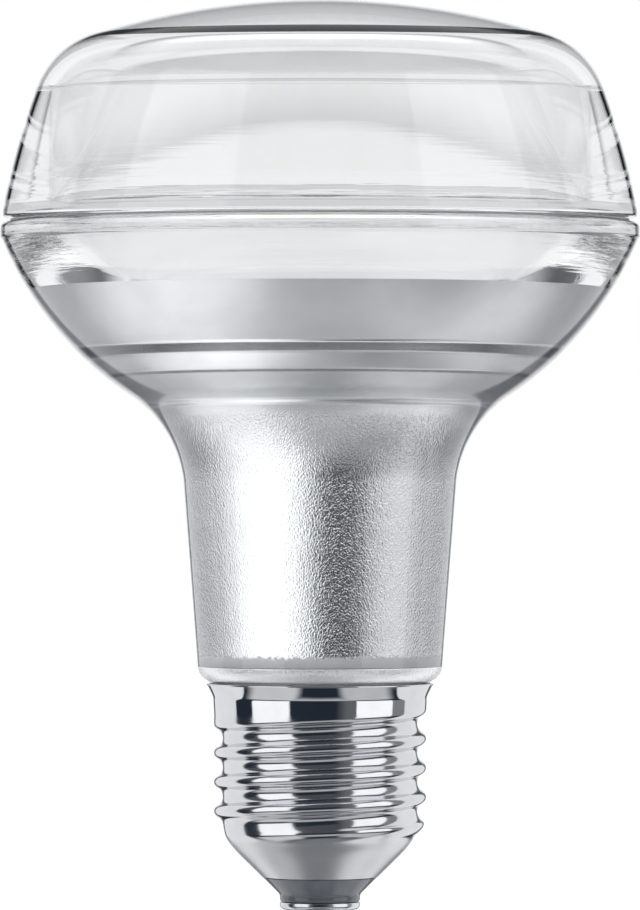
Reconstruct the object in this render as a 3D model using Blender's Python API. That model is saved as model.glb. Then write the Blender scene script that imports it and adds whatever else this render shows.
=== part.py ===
"""A reflector lamp with an E27 screw cap, in metres, +Z up.

The origin is the flat tip of the centre contact, and the axis runs up Z to the top of the front glass.
Turned pieces are outlines of (radius, height) points.
"""

import math

import bmesh
import bpy
from mathutils import Matrix, Vector

MM = 0.001

# Driving dimensions of the lamp
OVERALL_HEIGHT = 113.1 * MM
BULB_DIAMETER = 79.3 * MM
NECK_TOP_DIAMETER = 33.9 * MM
NECK_FOOT_DIAMETER = 30.4 * MM
CAP_HEIGHT = 24.0 * MM
THREAD_DIAMETER = 26.4 * MM
THREAD_PITCH = 3.629 * MM
THREAD_DEPTH = 1.1 * MM

# Clearances that keep neighbours apart
SEAT_GAP = 0.3 * MM
BOND_GAP = 0.2 * MM
WELD = 0.001 * MM

# Facets round a turn: fine on the glass, coarser on small turned pieces
GLASS_FACETS = 40
CAP_FACETS = 32
ROUND_FACETS = 24
SMALL_FACETS = 12
WIRE_FACETS = 8

# Contact end of the cap, stacked up from the tip
PIN_HEAD_HEIGHT = 0.6 * MM
PIN_HEAD_TIP_RADIUS = 2.6 * MM
PIN_HEAD_FLARE = 0.6 * MM
PIN_RADIUS = 1.0 * MM
PIN_CLEARANCE = 0.3 * MM
PIN_STUB = 0.8 * MM
PLATE_RISE = 0.35 * MM
PLATE_HEIGHT = 0.65 * MM
PLATE_RADIUS = 5.0 * MM
PLATE_EDGE = 0.4 * MM
INSULATOR_NOSE_HEIGHT = 2.7 * MM
INSULATOR_RIM_HEIGHT = 0.85 * MM
INSULATOR_CORE_HEIGHT = 3.8 * MM
INSULATOR_EDGE = 0.4 * MM
INSULATOR_Z = PLATE_RISE + PLATE_HEIGHT + SEAT_GAP
INSULATOR_SHOULDER_Z = INSULATOR_Z + INSULATOR_NOSE_HEIGHT
INSULATOR_TOP_Z = INSULATOR_SHOULDER_Z + INSULATOR_CORE_HEIGHT

# Screw shell: one sheet with a cone, a rolled right-hand thread, a collar and a flared lip
SHEET = 0.3 * MM
CONE_END_RADIUS = 7.1 * MM
CONE_RISE = 4.9 * MM
CONE_BLEND = 2.0 * MM
RUNOUT_LENGTH = 2.0 * MM
LOWER_RUNOUT_RISE = 6.2 * MM
UPPER_RUNOUT_DROP = 4.9 * MM
CREST_RISE = 11.83 * MM
COLLAR_HEIGHT = 3.0 * MM
COLLAR_STEP = 0.1 * MM
COLLAR_BLEND = 2.4 * MM
LIP_FLARE = 0.75 * MM
LIP_HEIGHT = 1.75 * MM
ROWS_PER_PITCH = 8
THREAD_RADIUS = THREAD_DIAMETER / 2
THREAD_ROOT_RADIUS = THREAD_RADIUS - THREAD_DEPTH
SHELL_Z = INSULATOR_SHOULDER_Z + SEAT_GAP
CAP_TOP_Z = SHELL_Z + CAP_HEIGHT
CONE_TOP_Z = SHELL_Z + CONE_RISE
CREST_Z = SHELL_Z + CREST_RISE

# Lower glass: tail in the cap, neck, bowl and flange, stacked up from the cap.
# Neck, fillet and bowl each take a share of the height of the glass
TAIL_DEPTH = 3.3 * MM
TAIL_WALL = 1.4 * MM
CEMENT_THICKNESS = 0.5 * MM
CEMENT_HEIGHT = 1.9 * MM
NECK_SHOULDER_HEIGHT = 1.9 * MM
NECK_SHOULDER_WIDTH = 1.5 * MM
NECK_SHOULDER_ARC = 2.2 * MM
NECK_HEIGHT_SHARE = 0.2734
NECK_WALL = 1.6 * MM
FILLET_HEIGHT_SHARE = 0.1231
FILLET_WIDTH = 6.4 * MM
FILLET_ARC = 14.6 * MM
BOWL_HEIGHT_SHARE = 0.2308
BOWL_ARC = 43.4 * MM
BOWL_WALL = 2.0 * MM
FLANGE_HEIGHT = 2.05 * MM
FLANGE_BAND_HEIGHT = 0.9 * MM
FLANGE_EDGE = 0.7 * MM
FLANGE_DRIP = 0.2 * MM
RIM_WIDTH = 6.0 * MM
RIM_DEPTH = 4.7 * MM
TAIL_RADIUS = THREAD_RADIUS + COLLAR_STEP - SHEET - 2 * SEAT_GAP - CEMENT_THICKNESS
BULB_RADIUS = BULB_DIAMETER / 2
NECK_TOP_RADIUS = NECK_TOP_DIAMETER / 2
NECK_FOOT_RADIUS = NECK_FOOT_DIAMETER / 2
GLASS_FOOT_Z = CAP_TOP_Z + SEAT_GAP
GLASS_HEIGHT = OVERALL_HEIGHT - GLASS_FOOT_Z
NECK_Z = GLASS_FOOT_Z + NECK_SHOULDER_HEIGHT
NECK_TOP_Z = NECK_Z + GLASS_HEIGHT * NECK_HEIGHT_SHARE
BOWL_Z = NECK_TOP_Z + GLASS_HEIGHT * FILLET_HEIGHT_SHARE
FLANGE_Z = BOWL_Z + GLASS_HEIGHT * BOWL_HEIGHT_SHARE
RIM_Z = FLANGE_Z + FLANGE_HEIGHT
RIM_INNER_RADIUS = BULB_RADIUS - RIM_WIDTH

# Rings pressed into the inner face of the bowl, as shares of the bowl's height above its foot
NECK_RING_DROP_SHARE = 0.0667
LOWER_RING_SHARE = 0.1179
MIDDLE_RING_SHARE = 0.2256
UPPER_RING_SHARE = 0.2923
COAT_EDGE_SHARE = 0.6769
FOOT_BAND_WALL = 1.9 * MM
RING_WALL = 2.5 * MM
GROOVE_WALL = 1.7 * MM
STATION_SPACE = 0.4 * MM

# Front glass: wedge-shaped side wall, rounded shoulder and flat crown.
# Shoulder and crown each take a share of the height of the dome
BOND_HEIGHT = 0.2 * MM
DOME_BEAD_HEIGHT = 0.85 * MM
DOME_BEAD_EDGE = 0.3 * MM
DOME_BEAD_INSET = 0.3 * MM
SIDE_FLARE = 4.35 * MM
SIDE_ARC = 99.0 * MM
SHOULDER_WIDTH = 6.6 * MM
SHOULDER_HEIGHT_SHARE = 0.23
SHOULDER_ARC = 10.15 * MM
CROWN_HEIGHT_SHARE = 0.1614
CROWN_ARC = 94.9 * MM
DOME_WALL = 2.0 * MM
DOME_INNER_EDGE_DROP = 1.0 * MM
RIM_CHAMFER = 0.4 * MM
BOND_INSET = 0.6 * MM
DOME_Z = RIM_Z + BOND_HEIGHT + 2 * BOND_GAP
DOME_HEIGHT = OVERALL_HEIGHT - DOME_Z

# Light unit in the top of the neck
SPREADER_RISE = 4.9 * MM
SPREADER_SKIRT_HEIGHT = 11.0 * MM
SPREADER_WALL = 1.0 * MM
SPREADER_PLATE = 1.5 * MM
SPREADER_EDGE = 0.8 * MM
PAD_HEIGHT = 0.5 * MM
PAD_INSET = 1.2 * MM
LIGHT_BOARD_HEIGHT = 1.2 * MM
LIGHT_BOARD_INSET = 0.4 * MM
LED_WIDTH = 3.0 * MM
LED_HEIGHT = 0.8 * MM
LED_BEVEL = 0.25 * MM
LED_RING_RADIUS = 8.0 * MM
LED_RING_COUNT = 6
SCREW_COUNT = 3
SCREW_RADIUS = 1.25 * MM
SCREW_HEAD_RADIUS = 2.2 * MM
SCREW_HEAD_HEIGHT = 1.4 * MM
SCREW_STUB = 2.0 * MM
SCREW_SLOT_WIDTH = 0.6 * MM
SCREW_SLOT_DEPTH = 0.7 * MM
SCREW_CLEARANCE = 0.3 * MM
CUT_OVERRUN = 1.0 * MM
SPREADER_TOP_Z = NECK_TOP_Z + SPREADER_RISE
PAD_Z = SPREADER_TOP_Z + SEAT_GAP
LIGHT_BOARD_Z = PAD_Z + PAD_HEIGHT + SEAT_GAP
LIGHT_BOARD_TOP_Z = LIGHT_BOARD_Z + LIGHT_BOARD_HEIGHT

# Driver in its tube, from the cap up to the spreader
HOUSING_CLEARANCE = 0.5 * MM
HOUSING_WALL = 1.1 * MM
HOUSING_FLOOR = 1.2 * MM
HOUSING_FLOOR_HOLE = 2.5 * MM
HOUSING_CHAMFER = 1.0 * MM
HOUSING_FLANGE_RISE = 3.0 * MM
HOUSING_FLANGE_HEIGHT = 1.2 * MM
GUIDE_WIDTH = 1.0 * MM
GUIDE_REACH = 1.2 * MM
GUIDE_FOOT_RISE = 6.0 * MM
BOARD_THICKNESS = 1.2 * MM
BOARD_CLEARANCE = 0.4 * MM
BOARD_HEIGHT = 36.0 * MM
BOARD_NOTCH_WIDTH = 6.4 * MM
BOARD_NOTCH_HEIGHT = 11.2 * MM
BOARD_CORNER = 1.0 * MM
WIRE_RADIUS = 0.3 * MM
WIRE_HOLE_RISE = 3.0 * MM
WIRE_CLEARANCE = 0.4 * MM
SHELL_WIRE_HEIGHT = 8.0 * MM
SHELL_WIRE_BEND = 0.8 * MM
RESISTOR_RADIUS = 1.3 * MM
RESISTOR_WAIST = 0.15 * MM
RESISTOR_BEAD = 1.3 * MM
RESISTOR_LEAD = 1.2 * MM
CONTACT_WIRE_LENGTH = 3.0 * MM
OUTPUT_PIN_RADIUS = 0.4 * MM
OUTPUT_PIN_SPREAD = 5.0 * MM
OUTPUT_PIN_OVERLAP = 4.0 * MM
OUTPUT_PIN_STUB = 0.8 * MM
OUTPUT_PIN_CLEARANCE = 0.5 * MM
HOUSING_Z = INSULATOR_TOP_Z + SEAT_GAP
HOUSING_RADIUS = TAIL_RADIUS - TAIL_WALL - HOUSING_CLEARANCE
HOUSING_BORE = HOUSING_RADIUS - HOUSING_WALL
BOARD_Z = HOUSING_Z + HOUSING_FLOOR + SEAT_GAP
BOARD_TOP_Z = BOARD_Z + BOARD_HEIGHT
BOARD_HALF_WIDTH = HOUSING_BORE - BOARD_CLEARANCE
BOARD_FACE = BOARD_THICKNESS / 2 + SEAT_GAP

# Parts on the driver board, with their places as rises above its lower edge
FILM_WIDTH = 7.2 * MM
FILM_DEPTH = 3.2 * MM
FILM_HEIGHT = 6.4 * MM
FILM_RISE = 12.0 * MM
FILM_BEVEL = 0.3 * MM
INDUCTOR_RADIUS = 3.0 * MM
INDUCTOR_HEIGHT = 7.0 * MM
INDUCTOR_FLANGE = 1.1 * MM
INDUCTOR_CORE_RADIUS = 1.4 * MM
INDUCTOR_RISE = 2.0 * MM
WINDING_INSET = 0.25 * MM
CAPACITOR_RADIUS = 3.15 * MM
CAPACITOR_HEIGHT = 11.0 * MM
CAPACITOR_RISE = 21.0 * MM
CAPACITOR_EDGE = 0.4 * MM
CAPACITOR_CRIMP = 0.3 * MM
CAPACITOR_CRIMP_RISE = 1.6 * MM
CAPACITOR_CRIMP_HEIGHT = 0.8 * MM
CHIP_WIDTH = 3.9 * MM
CHIP_DEPTH = 1.5 * MM
CHIP_HEIGHT = 4.9 * MM
CHIP_RISE = 22.0 * MM
CHIP_PLACE_X = -3.2 * MM
CHIP_PINS = 4
RECTIFIER_WIDTH = 4.0 * MM
RECTIFIER_DEPTH = 2.4 * MM
RECTIFIER_HEIGHT = 4.7 * MM
RECTIFIER_RISE = 14.0 * MM
RECTIFIER_PLACE_X = 3.2 * MM
RECTIFIER_PINS = 2
PACKAGE_BEVEL = 0.2 * MM
LEAD_WIDTH = 0.45 * MM
LEAD_REACH = 1.0 * MM
LEAD_THICKNESS = 0.2 * MM


def clear_scene():
    for leftover in list(bpy.data.objects):
        bpy.data.objects.remove(leftover)


def material(name, colour, roughness, metallic=0, transmission=0):
    """A Principled material, with its colour also set for the viewport."""
    made = bpy.data.materials.new(name)
    made.use_nodes = True
    made.diffuse_color = (*colour, 1)
    principled = made.node_tree.nodes["Principled BSDF"]
    principled.inputs["Base Color"].default_value = (*colour, 1)
    principled.inputs["Roughness"].default_value = roughness
    principled.inputs["Metallic"].default_value = metallic
    principled.inputs["Transmission Weight"].default_value = transmission
    return made


def finished(name, bm, surface, place=(0, 0, 0), turn=0):
    """The object of a finished bmesh: faces out, smooth but for its corners, with its material."""
    bmesh.ops.recalc_face_normals(bm, faces=bm.faces)
    mesh = bpy.data.meshes.new(name)
    bm.to_mesh(mesh)
    bm.free()
    mesh.shade_smooth()
    mesh.set_sharp_from_angle(angle=math.radians(30))
    mesh.materials.append(surface)
    return placed(name, mesh, place, turn)


def placed(name, mesh, place=(0, 0, 0), turn=0):
    """A new object with this mesh, which other objects may share."""
    made = bpy.data.objects.new(name, mesh)
    made.location = place
    made.rotation_euler.z = turn
    bpy.context.collection.objects.link(made)
    return made


def as_cutter(made):
    made.hide_render = True
    made.display_type = "WIRE"
    return made


def boolean(carrier, other, operation):
    modifier = carrier.modifiers.new(f"{operation.lower()} {other.name}", "BOOLEAN")
    modifier.operation = operation
    modifier.solver = "EXACT"
    modifier.object = as_cutter(other)


def smooth_step(value):
    """0 below 0, 1 above 1, and an even curve between."""
    value = min(max(value, 0), 1)
    return value * value * (3 - 2 * value)


def arc(start, end, radius, steps):
    """Points from start to end along an arc, without the start.

    On the way from start to end, a positive radius bulges to the right and a negative one to the left.
    """
    start, end = Vector(start), Vector(end)
    way = end - start
    half = way.length / 2
    reach = max(abs(radius), half)
    side = math.copysign(1, radius)
    right = Vector((way.y, -way.x)).normalized()
    centre = (start + end) / 2 - right * side * math.sqrt(reach**2 - half**2)
    turn = 2 * math.asin(half / reach) * side
    spoke = start - centre
    return [centre + Matrix.Rotation(turn * step / steps, 2) @ spoke for step in range(1, steps + 1)]


def offset_left(points, distance):
    """The points moved by this distance to the left of the way along them."""
    moved = []
    for index, point in enumerate(points):
        before = points[max(index - 1, 0)]
        after = points[min(index + 1, len(points) - 1)]
        way = (after - before).normalized()
        moved.append(point + Vector((-way.y, way.x)) * distance)
    return moved


def point_at(outline, height):
    """Where a rising outline passes this height."""
    for low, high in zip(outline, outline[1:]):
        if low.y <= height <= high.y:
            return low.lerp(high, (height - low.y) / (high.y - low.y))
    return (outline[0] if height < outline[0].y else outline[-1]).copy()


def with_stations(outline, heights):
    """The rising outline with points at these heights, in place of any that lie close by."""
    stations = [Vector((point_at(outline, height).x, height)) for height in heights]
    kept = [p for p in outline if all(abs(p.y - station.y) > STATION_SPACE for station in stations)]
    return sorted(kept + stations, key=lambda point: point.y)


def turned(name, outline, surface, facets, place=(0, 0, 0)):
    """A solid turned about its Z axis from a closed outline, which may start and end on the axis.

    A flat end that reaches the axis is one face, so a hole through it meets no edges but its own.
    """
    bm = bmesh.new()
    corners = [bm.verts.new((radius, 0, height)) for radius, height in outline]
    edges = []
    for first, second in zip(corners, corners[1:] + corners[:1]):
        if first.co.x > 0 or second.co.x > 0:
            edges.append(bm.edges.new((first, second)))
    bmesh.ops.spin(
        bm, geom=edges, cent=(0, 0, 0), axis=(0, 0, 1), angle=math.tau, steps=facets, use_merge=True
    )
    bmesh.ops.remove_doubles(bm, verts=bm.verts, dist=WELD)
    hubs = []
    for vert in bm.verts:
        drops = [abs(edge.other_vert(vert).co.z - vert.co.z) for edge in vert.link_edges]
        if math.hypot(vert.co.x, vert.co.y) < WELD and max(drops) < WELD:
            hubs.append(vert)
    bmesh.ops.dissolve_verts(bm, verts=hubs)
    return finished(name, bm, surface, place)


def bar(name, radius, low, high, surface, facets=SMALL_FACETS, place=(0, 0, 0)):
    """A plain round bar between two heights on its own axis."""
    return turned(name, [(0, low), (radius, low), (radius, high), (0, high)], surface, facets, place)


def block(name, width, depth, height, bevel, surface, place=(0, 0, 0)):
    """A block centred on its origin, its edges bevelled once."""
    bm = bmesh.new()
    bmesh.ops.create_cube(bm, size=1)
    bmesh.ops.scale(bm, vec=(width, depth, height), verts=bm.verts)
    if bevel:
        bmesh.ops.bevel(bm, geom=bm.edges, offset=bevel, segments=1, affect="EDGES")
    return finished(name, bm, surface, place)


def lower_glass_outside():
    """The rising outer outline of neck, fillet and bowl, from the foot of the neck to the flange."""
    neck_foot = Vector((NECK_FOOT_RADIUS, NECK_Z))
    neck_top = Vector((NECK_TOP_RADIUS, NECK_TOP_Z))
    bowl_foot = Vector((NECK_TOP_RADIUS + FILLET_WIDTH, BOWL_Z))
    flange_foot = Vector((BULB_RADIUS - FLANGE_DRIP, FLANGE_Z))
    outside = [neck_foot, neck_top]
    outside += arc(neck_top, bowl_foot, -FILLET_ARC, 6)
    outside += arc(bowl_foot, flange_foot, BOWL_ARC, 9)
    return outside


def lower_glass_inside(outside):
    """The rising inner outline, whose wall steps at the pressed rings, up to the edge of the coat."""
    ring_shares = (
        -NECK_RING_DROP_SHARE,
        LOWER_RING_SHARE,
        MIDDLE_RING_SHARE,
        UPPER_RING_SHARE,
        COAT_EDGE_SHARE,
    )
    heights = [NECK_Z] + [BOWL_Z + (FLANGE_Z - BOWL_Z) * share for share in ring_shares]
    walls = (NECK_WALL, FOOT_BAND_WALL, RING_WALL, GROOVE_WALL, BOWL_WALL)
    stations = with_stations(outside, heights)
    inside = []
    for low, high, wall in zip(heights, heights[1:], walls):
        moved = offset_left(stations, wall)
        inside += [inner for inner, outer in zip(moved, stations) if low <= outer.y <= high]
    return inside


def neck_inner_radius(height):
    """The inner radius of the tapered neck and of the foot of the bowl."""
    return point_at(lower_glass_inside(lower_glass_outside()), height).x


def make_glass_bowl(glass):
    """Tail, neck, bowl and thick flange, pressed as one piece."""
    outside = lower_glass_outside()
    shoulder = Vector((NECK_FOOT_RADIUS - NECK_SHOULDER_WIDTH, GLASS_FOOT_Z))
    tail_foot_z = CAP_TOP_Z - TAIL_DEPTH
    tail_bore = TAIL_RADIUS - TAIL_WALL
    band_low = Vector((BULB_RADIUS, RIM_Z - FLANGE_EDGE - FLANGE_BAND_HEIGHT))
    band_high = Vector((BULB_RADIUS, RIM_Z - FLANGE_EDGE))
    outline = [Vector((TAIL_RADIUS, tail_foot_z)), Vector((TAIL_RADIUS, GLASS_FOOT_Z)), shoulder]
    outline += arc(shoulder, outside[0], NECK_SHOULDER_ARC, 3)
    outline += outside[1:] + [band_low, band_high]
    outline += arc(band_high, (BULB_RADIUS - FLANGE_EDGE, RIM_Z), FLANGE_EDGE, 2)
    outline += [
        Vector((RIM_INNER_RADIUS + RIM_CHAMFER, RIM_Z)),
        Vector((RIM_INNER_RADIUS, RIM_Z - RIM_CHAMFER)),
        Vector((RIM_INNER_RADIUS, RIM_Z - RIM_DEPTH)),
    ]
    outline += reversed(lower_glass_inside(outside))
    outline += [Vector((tail_bore, GLASS_FOOT_Z)), Vector((tail_bore, tail_foot_z))]
    return turned("glass_bowl", outline, glass, GLASS_FACETS)


def dome_crown():
    """The falling outer outline from the top of the crown to the end of the shoulder."""
    side_top_radius = BULB_RADIUS - DOME_BEAD_INSET - SIDE_FLARE
    top = Vector((0, OVERALL_HEIGHT))
    crown_z = OVERALL_HEIGHT - DOME_HEIGHT * CROWN_HEIGHT_SHARE
    crown_end = Vector((side_top_radius - SHOULDER_WIDTH, crown_z))
    shoulder_end = Vector((side_top_radius, crown_z - DOME_HEIGHT * SHOULDER_HEIGHT_SHARE))
    return [top, *arc(top, crown_end, -CROWN_ARC, 6), *arc(crown_end, shoulder_end, -SHOULDER_ARC, 6)]


def make_front_dome(glass):
    """The clear front: its wall grows from the shoulder down to a thick foot on the rim of the bowl."""
    crown = dome_crown()
    crown_inside = [point + Vector((0, -DOME_WALL)) for point in crown[:1]]
    crown_inside += offset_left(crown, -DOME_WALL)[1:]
    way = (crown_inside[-1] - crown_inside[-2]).normalized()
    crown_inside.append(crown_inside[-1] + way * DOME_INNER_EDGE_DROP)
    bead_radius = BULB_RADIUS - DOME_BEAD_INSET
    bead_top = Vector((bead_radius, DOME_Z + DOME_BEAD_HEIGHT))
    bead_low = Vector((bead_radius, DOME_Z + DOME_BEAD_EDGE))
    outline = list(crown)
    outline += arc(crown[-1], bead_top, -SIDE_ARC, 4)
    outline += [bead_low]
    outline += arc(bead_low, (bead_radius - DOME_BEAD_EDGE, DOME_Z), -DOME_BEAD_EDGE, 2)
    outline += [
        Vector((RIM_INNER_RADIUS + RIM_CHAMFER, DOME_Z)),
        Vector((RIM_INNER_RADIUS, DOME_Z + RIM_CHAMFER)),
    ]
    outline += reversed(crown_inside)
    return turned("front_dome", outline, glass, GLASS_FACETS)


def make_rim_adhesive(adhesive):
    """The bond line between the two rims."""
    inner = RIM_INNER_RADIUS + RIM_CHAMFER + BOND_INSET
    outer = BULB_RADIUS - FLANGE_EDGE - BOND_INSET
    low = RIM_Z + BOND_GAP
    outline = [(inner, low), (outer, low), (outer, low + BOND_HEIGHT), (inner, low + BOND_HEIGHT)]
    return turned("rim_adhesive", outline, adhesive, GLASS_FACETS)


def thread_dip(turns):
    """How far the sheet dips below the crests, for a place counted in pitches from a crest.

    Crest and root are equal arcs that meet halfway down the flank.
    """
    quarter = THREAD_PITCH / 4
    roll = (quarter**2 + (THREAD_DEPTH / 2) ** 2) / THREAD_DEPTH
    offset = abs(turns - round(turns)) * THREAD_PITCH
    if offset < quarter:
        return roll - math.sqrt(roll**2 - offset**2)
    return THREAD_DEPTH - roll + math.sqrt(roll**2 - (2 * quarter - offset) ** 2)


def shell_radius(angle, height):
    """The outer radius of the screw shell: cone, thread with its two run-outs, collar and lip."""
    start = (angle - math.pi) / math.tau
    turns = (height - CREST_Z) / THREAD_PITCH - start
    crest_z = CREST_Z + (round(turns) + start) * THREAD_PITCH
    groove_z = CREST_Z + (math.floor(turns) + 1 / 2 + start) * THREAD_PITCH
    collar_z = CAP_TOP_Z - COLLAR_HEIGHT
    crest_left = smooth_step((crest_z - SHELL_Z - LOWER_RUNOUT_RISE + RUNOUT_LENGTH) / RUNOUT_LENGTH)
    groove_left = smooth_step((CAP_TOP_Z - UPPER_RUNOUT_DROP + RUNOUT_LENGTH - groove_z) / RUNOUT_LENGTH)
    dip = THREAD_DEPTH - (THREAD_DEPTH - thread_dip(turns)) * crest_left
    dip *= groove_left
    collar = COLLAR_STEP * smooth_step((height - collar_z + COLLAR_BLEND / 2) / COLLAR_BLEND)
    lip = LIP_FLARE * (max(height - CAP_TOP_Z + LIP_HEIGHT, 0) / LIP_HEIGHT) ** 2
    wall = THREAD_RADIUS - dip + collar + lip
    cone = CONE_END_RADIUS + (height - SHELL_Z) * (THREAD_ROOT_RADIUS - CONE_END_RADIUS) / CONE_RISE
    nearness = max(CONE_BLEND - abs(wall - cone), 0) / CONE_BLEND
    return min(wall, cone) - nearness**2 * CONE_BLEND / 4


def shell_heights():
    """Heights of the shell's rows of points: sparse on cone and collar, dense on the thread."""
    row = THREAD_PITCH / ROWS_PER_PITCH
    thread_low = CONE_TOP_Z - 3 * row
    thread_high = CAP_TOP_Z - UPPER_RUNOUT_DROP + 2 * row
    count = math.ceil((thread_high - thread_low) / row)
    heights = [SHELL_Z, (SHELL_Z + thread_low) / 2]
    heights += [thread_low + row * step for step in range(count + 1)]
    last = heights[-1]
    lip_z = CAP_TOP_Z - LIP_HEIGHT
    heights += [(last + lip_z) / 2, lip_z]
    heights += [lip_z + LIP_HEIGHT * share for share in (1 / 2, 3 / 4, 1)]
    return heights


def make_cap_shell(plated):
    """The screw shell as one sheet of even thickness, which the thread corrugates inside and out."""
    heights = shell_heights()
    bm = bmesh.new()
    outer, inner = [], []
    for column in range(CAP_FACETS):
        angle = math.tau * column / CAP_FACETS
        outside = [Vector((shell_radius(angle, height), height)) for height in heights]
        inside = offset_left(outside, SHEET)
        inside[0].y = heights[0]
        inside[-1].y = heights[-1]
        for rows, points in ((outer, outside), (inner, inside)):
            rows.append(
                [bm.verts.new((p.x * math.cos(angle), p.x * math.sin(angle), p.y)) for p in points]
            )
    for column in range(CAP_FACETS):
        following = (column + 1) % CAP_FACETS
        for sheet in (outer, inner):
            near, far = sheet[column], sheet[following]
            for low in range(len(heights) - 1):
                bm.faces.new((near[low], far[low], far[low + 1]))
                bm.faces.new((near[low], far[low + 1], near[low + 1]))
        for end in (0, -1):
            skins = (outer[column], outer[following], inner[following], inner[column])
            bm.faces.new([skin[end] for skin in skins])
    return finished("cap_shell", bm, plated)


def make_cap_cement(cement):
    """The ring of cement between the glass tail and the collar."""
    inner = TAIL_RADIUS + SEAT_GAP
    outer = inner + CEMENT_THICKNESS
    high = CAP_TOP_Z - LIP_HEIGHT / 2
    low = high - CEMENT_HEIGHT
    outline = [(inner, low), (outer, low), (outer, high), (inner, high)]
    return turned("cap_cement", outline, cement, ROUND_FACETS)


def make_cap_insulator(vitrite):
    """The moulded insulator: it fills the cone, and its nose carries the cone's slope on to a short rim."""
    slope = (THREAD_ROOT_RADIUS - CONE_END_RADIUS) / CONE_RISE
    inset = (SHEET + SEAT_GAP) * math.hypot(1, slope)
    bore = PIN_RADIUS + PIN_CLEARANCE

    def inside_cone(height):
        return CONE_END_RADIUS + (height - SHELL_Z) * slope - inset

    outline = [
        (bore, INSULATOR_Z),
        (PLATE_RADIUS - INSULATOR_EDGE, INSULATOR_Z),
        (PLATE_RADIUS, INSULATOR_Z + INSULATOR_EDGE),
        (PLATE_RADIUS, INSULATOR_Z + INSULATOR_RIM_HEIGHT),
        (CONE_END_RADIUS - SEAT_GAP * slope, INSULATOR_SHOULDER_Z),
        (inside_cone(INSULATOR_SHOULDER_Z), INSULATOR_SHOULDER_Z),
        (inside_cone(INSULATOR_TOP_Z - INSULATOR_EDGE), INSULATOR_TOP_Z - INSULATOR_EDGE),
        (inside_cone(INSULATOR_TOP_Z - INSULATOR_EDGE) - INSULATOR_EDGE, INSULATOR_TOP_Z),
        (bore, INSULATOR_TOP_Z),
    ]
    return turned("cap_insulator", outline, vitrite, ROUND_FACETS)


def make_contacts(plated):
    """The contact plate under the insulator, and the pin whose head stands in the plate's hole."""
    bore = PIN_HEAD_TIP_RADIUS + PIN_HEAD_FLARE + SEAT_GAP
    plate_top = PLATE_RISE + PLATE_HEIGHT
    plate = [
        (bore, PLATE_RISE),
        (PLATE_RADIUS - PLATE_EDGE, PLATE_RISE),
        (PLATE_RADIUS, PLATE_RISE + PLATE_EDGE),
        (PLATE_RADIUS, plate_top),
        (bore, plate_top),
    ]
    turned("centre_contact", plate, plated, ROUND_FACETS)
    pin_top = INSULATOR_TOP_Z + PIN_STUB
    pin = [
        (0, 0),
        (PIN_HEAD_TIP_RADIUS, 0),
        (PIN_HEAD_TIP_RADIUS + PIN_HEAD_FLARE, PIN_HEAD_HEIGHT),
        (PIN_RADIUS, PIN_HEAD_HEIGHT),
        (PIN_RADIUS, pin_top),
        (0, pin_top),
    ]
    turned("contact_pin", pin, plated, ROUND_FACETS)


def ring_places(radius, count, first=0):
    """Angle, X and Y of evenly spaced places on a circle, the first at this share of a space."""
    for index in range(count):
        angle = math.tau * (index + first) / count
        yield angle, radius * math.cos(angle), radius * math.sin(angle)


def screw_places():
    """Centres of the board screws, midway between the lights of the ring."""
    circle = skirt_radius(NECK_TOP_Z) - SPREADER_WALL - SCREW_CLEARANCE - SCREW_HEAD_RADIUS
    return [(x, y) for _, x, y in ring_places(circle, SCREW_COUNT)]


def output_pin_places():
    """Centres of the two pins that rise along the back face of the driver board."""
    behind = BOARD_FACE + OUTPUT_PIN_RADIUS
    return ((-OUTPUT_PIN_SPREAD, behind), (OUTPUT_PIN_SPREAD, behind))


def pierce(carrier, low, high):
    """Holes for the board screws and the output pins through a round piece between two heights."""
    holes = [(place, SCREW_RADIUS + SCREW_CLEARANCE) for place in screw_places()]
    holes += [(place, OUTPUT_PIN_RADIUS + OUTPUT_PIN_CLEARANCE) for place in output_pin_places()]
    for index, ((x, y), radius) in enumerate(holes):
        name = f"{carrier.name}_hole_{index + 1}"
        surface = carrier.data.materials[0]
        hole = bar(name, radius, low - CUT_OVERRUN, high + CUT_OVERRUN, surface, place=(x, y, 0))
        boolean(carrier, hole, "DIFFERENCE")


def skirt_radius(height):
    """The outer radius of the spreader, which follows the inside of the neck."""
    return neck_inner_radius(height) - SEAT_GAP


def make_heat_spreader(aluminium):
    """A drawn cup: its skirt lines the neck and its flanged top carries the light board."""
    foot_z = SPREADER_TOP_Z - SPREADER_SKIRT_HEIGHT
    under = SPREADER_TOP_Z - SPREADER_PLATE
    outline = [
        (0, under),
        (skirt_radius(NECK_TOP_Z) - SPREADER_WALL, under),
        (skirt_radius(foot_z) - SPREADER_WALL, foot_z),
        (skirt_radius(foot_z), foot_z),
        (skirt_radius(NECK_TOP_Z), NECK_TOP_Z),
        (skirt_radius(under), under),
        (skirt_radius(under), SPREADER_TOP_Z - SPREADER_EDGE / 2),
        (skirt_radius(under) - SPREADER_EDGE / 2, SPREADER_TOP_Z),
        (0, SPREADER_TOP_Z),
    ]
    pierce(turned("heat_spreader", outline, aluminium, ROUND_FACETS), under, SPREADER_TOP_Z)


def make_light_board(pad_surface, board_surface):
    """The soft pad and the round board above it, with holes for screws and pins."""
    pad_radius = skirt_radius(SPREADER_TOP_Z - SPREADER_PLATE) - PAD_INSET
    pad = bar("thermal_pad", pad_radius, PAD_Z, PAD_Z + PAD_HEIGHT, pad_surface, ROUND_FACETS)
    pierce(pad, PAD_Z, PAD_Z + PAD_HEIGHT)
    board_radius = skirt_radius(SPREADER_TOP_Z) - LIGHT_BOARD_INSET
    board = bar("led_board", board_radius, LIGHT_BOARD_Z, LIGHT_BOARD_TOP_Z, board_surface, ROUND_FACETS)
    pierce(board, LIGHT_BOARD_Z, LIGHT_BOARD_TOP_Z)


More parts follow.
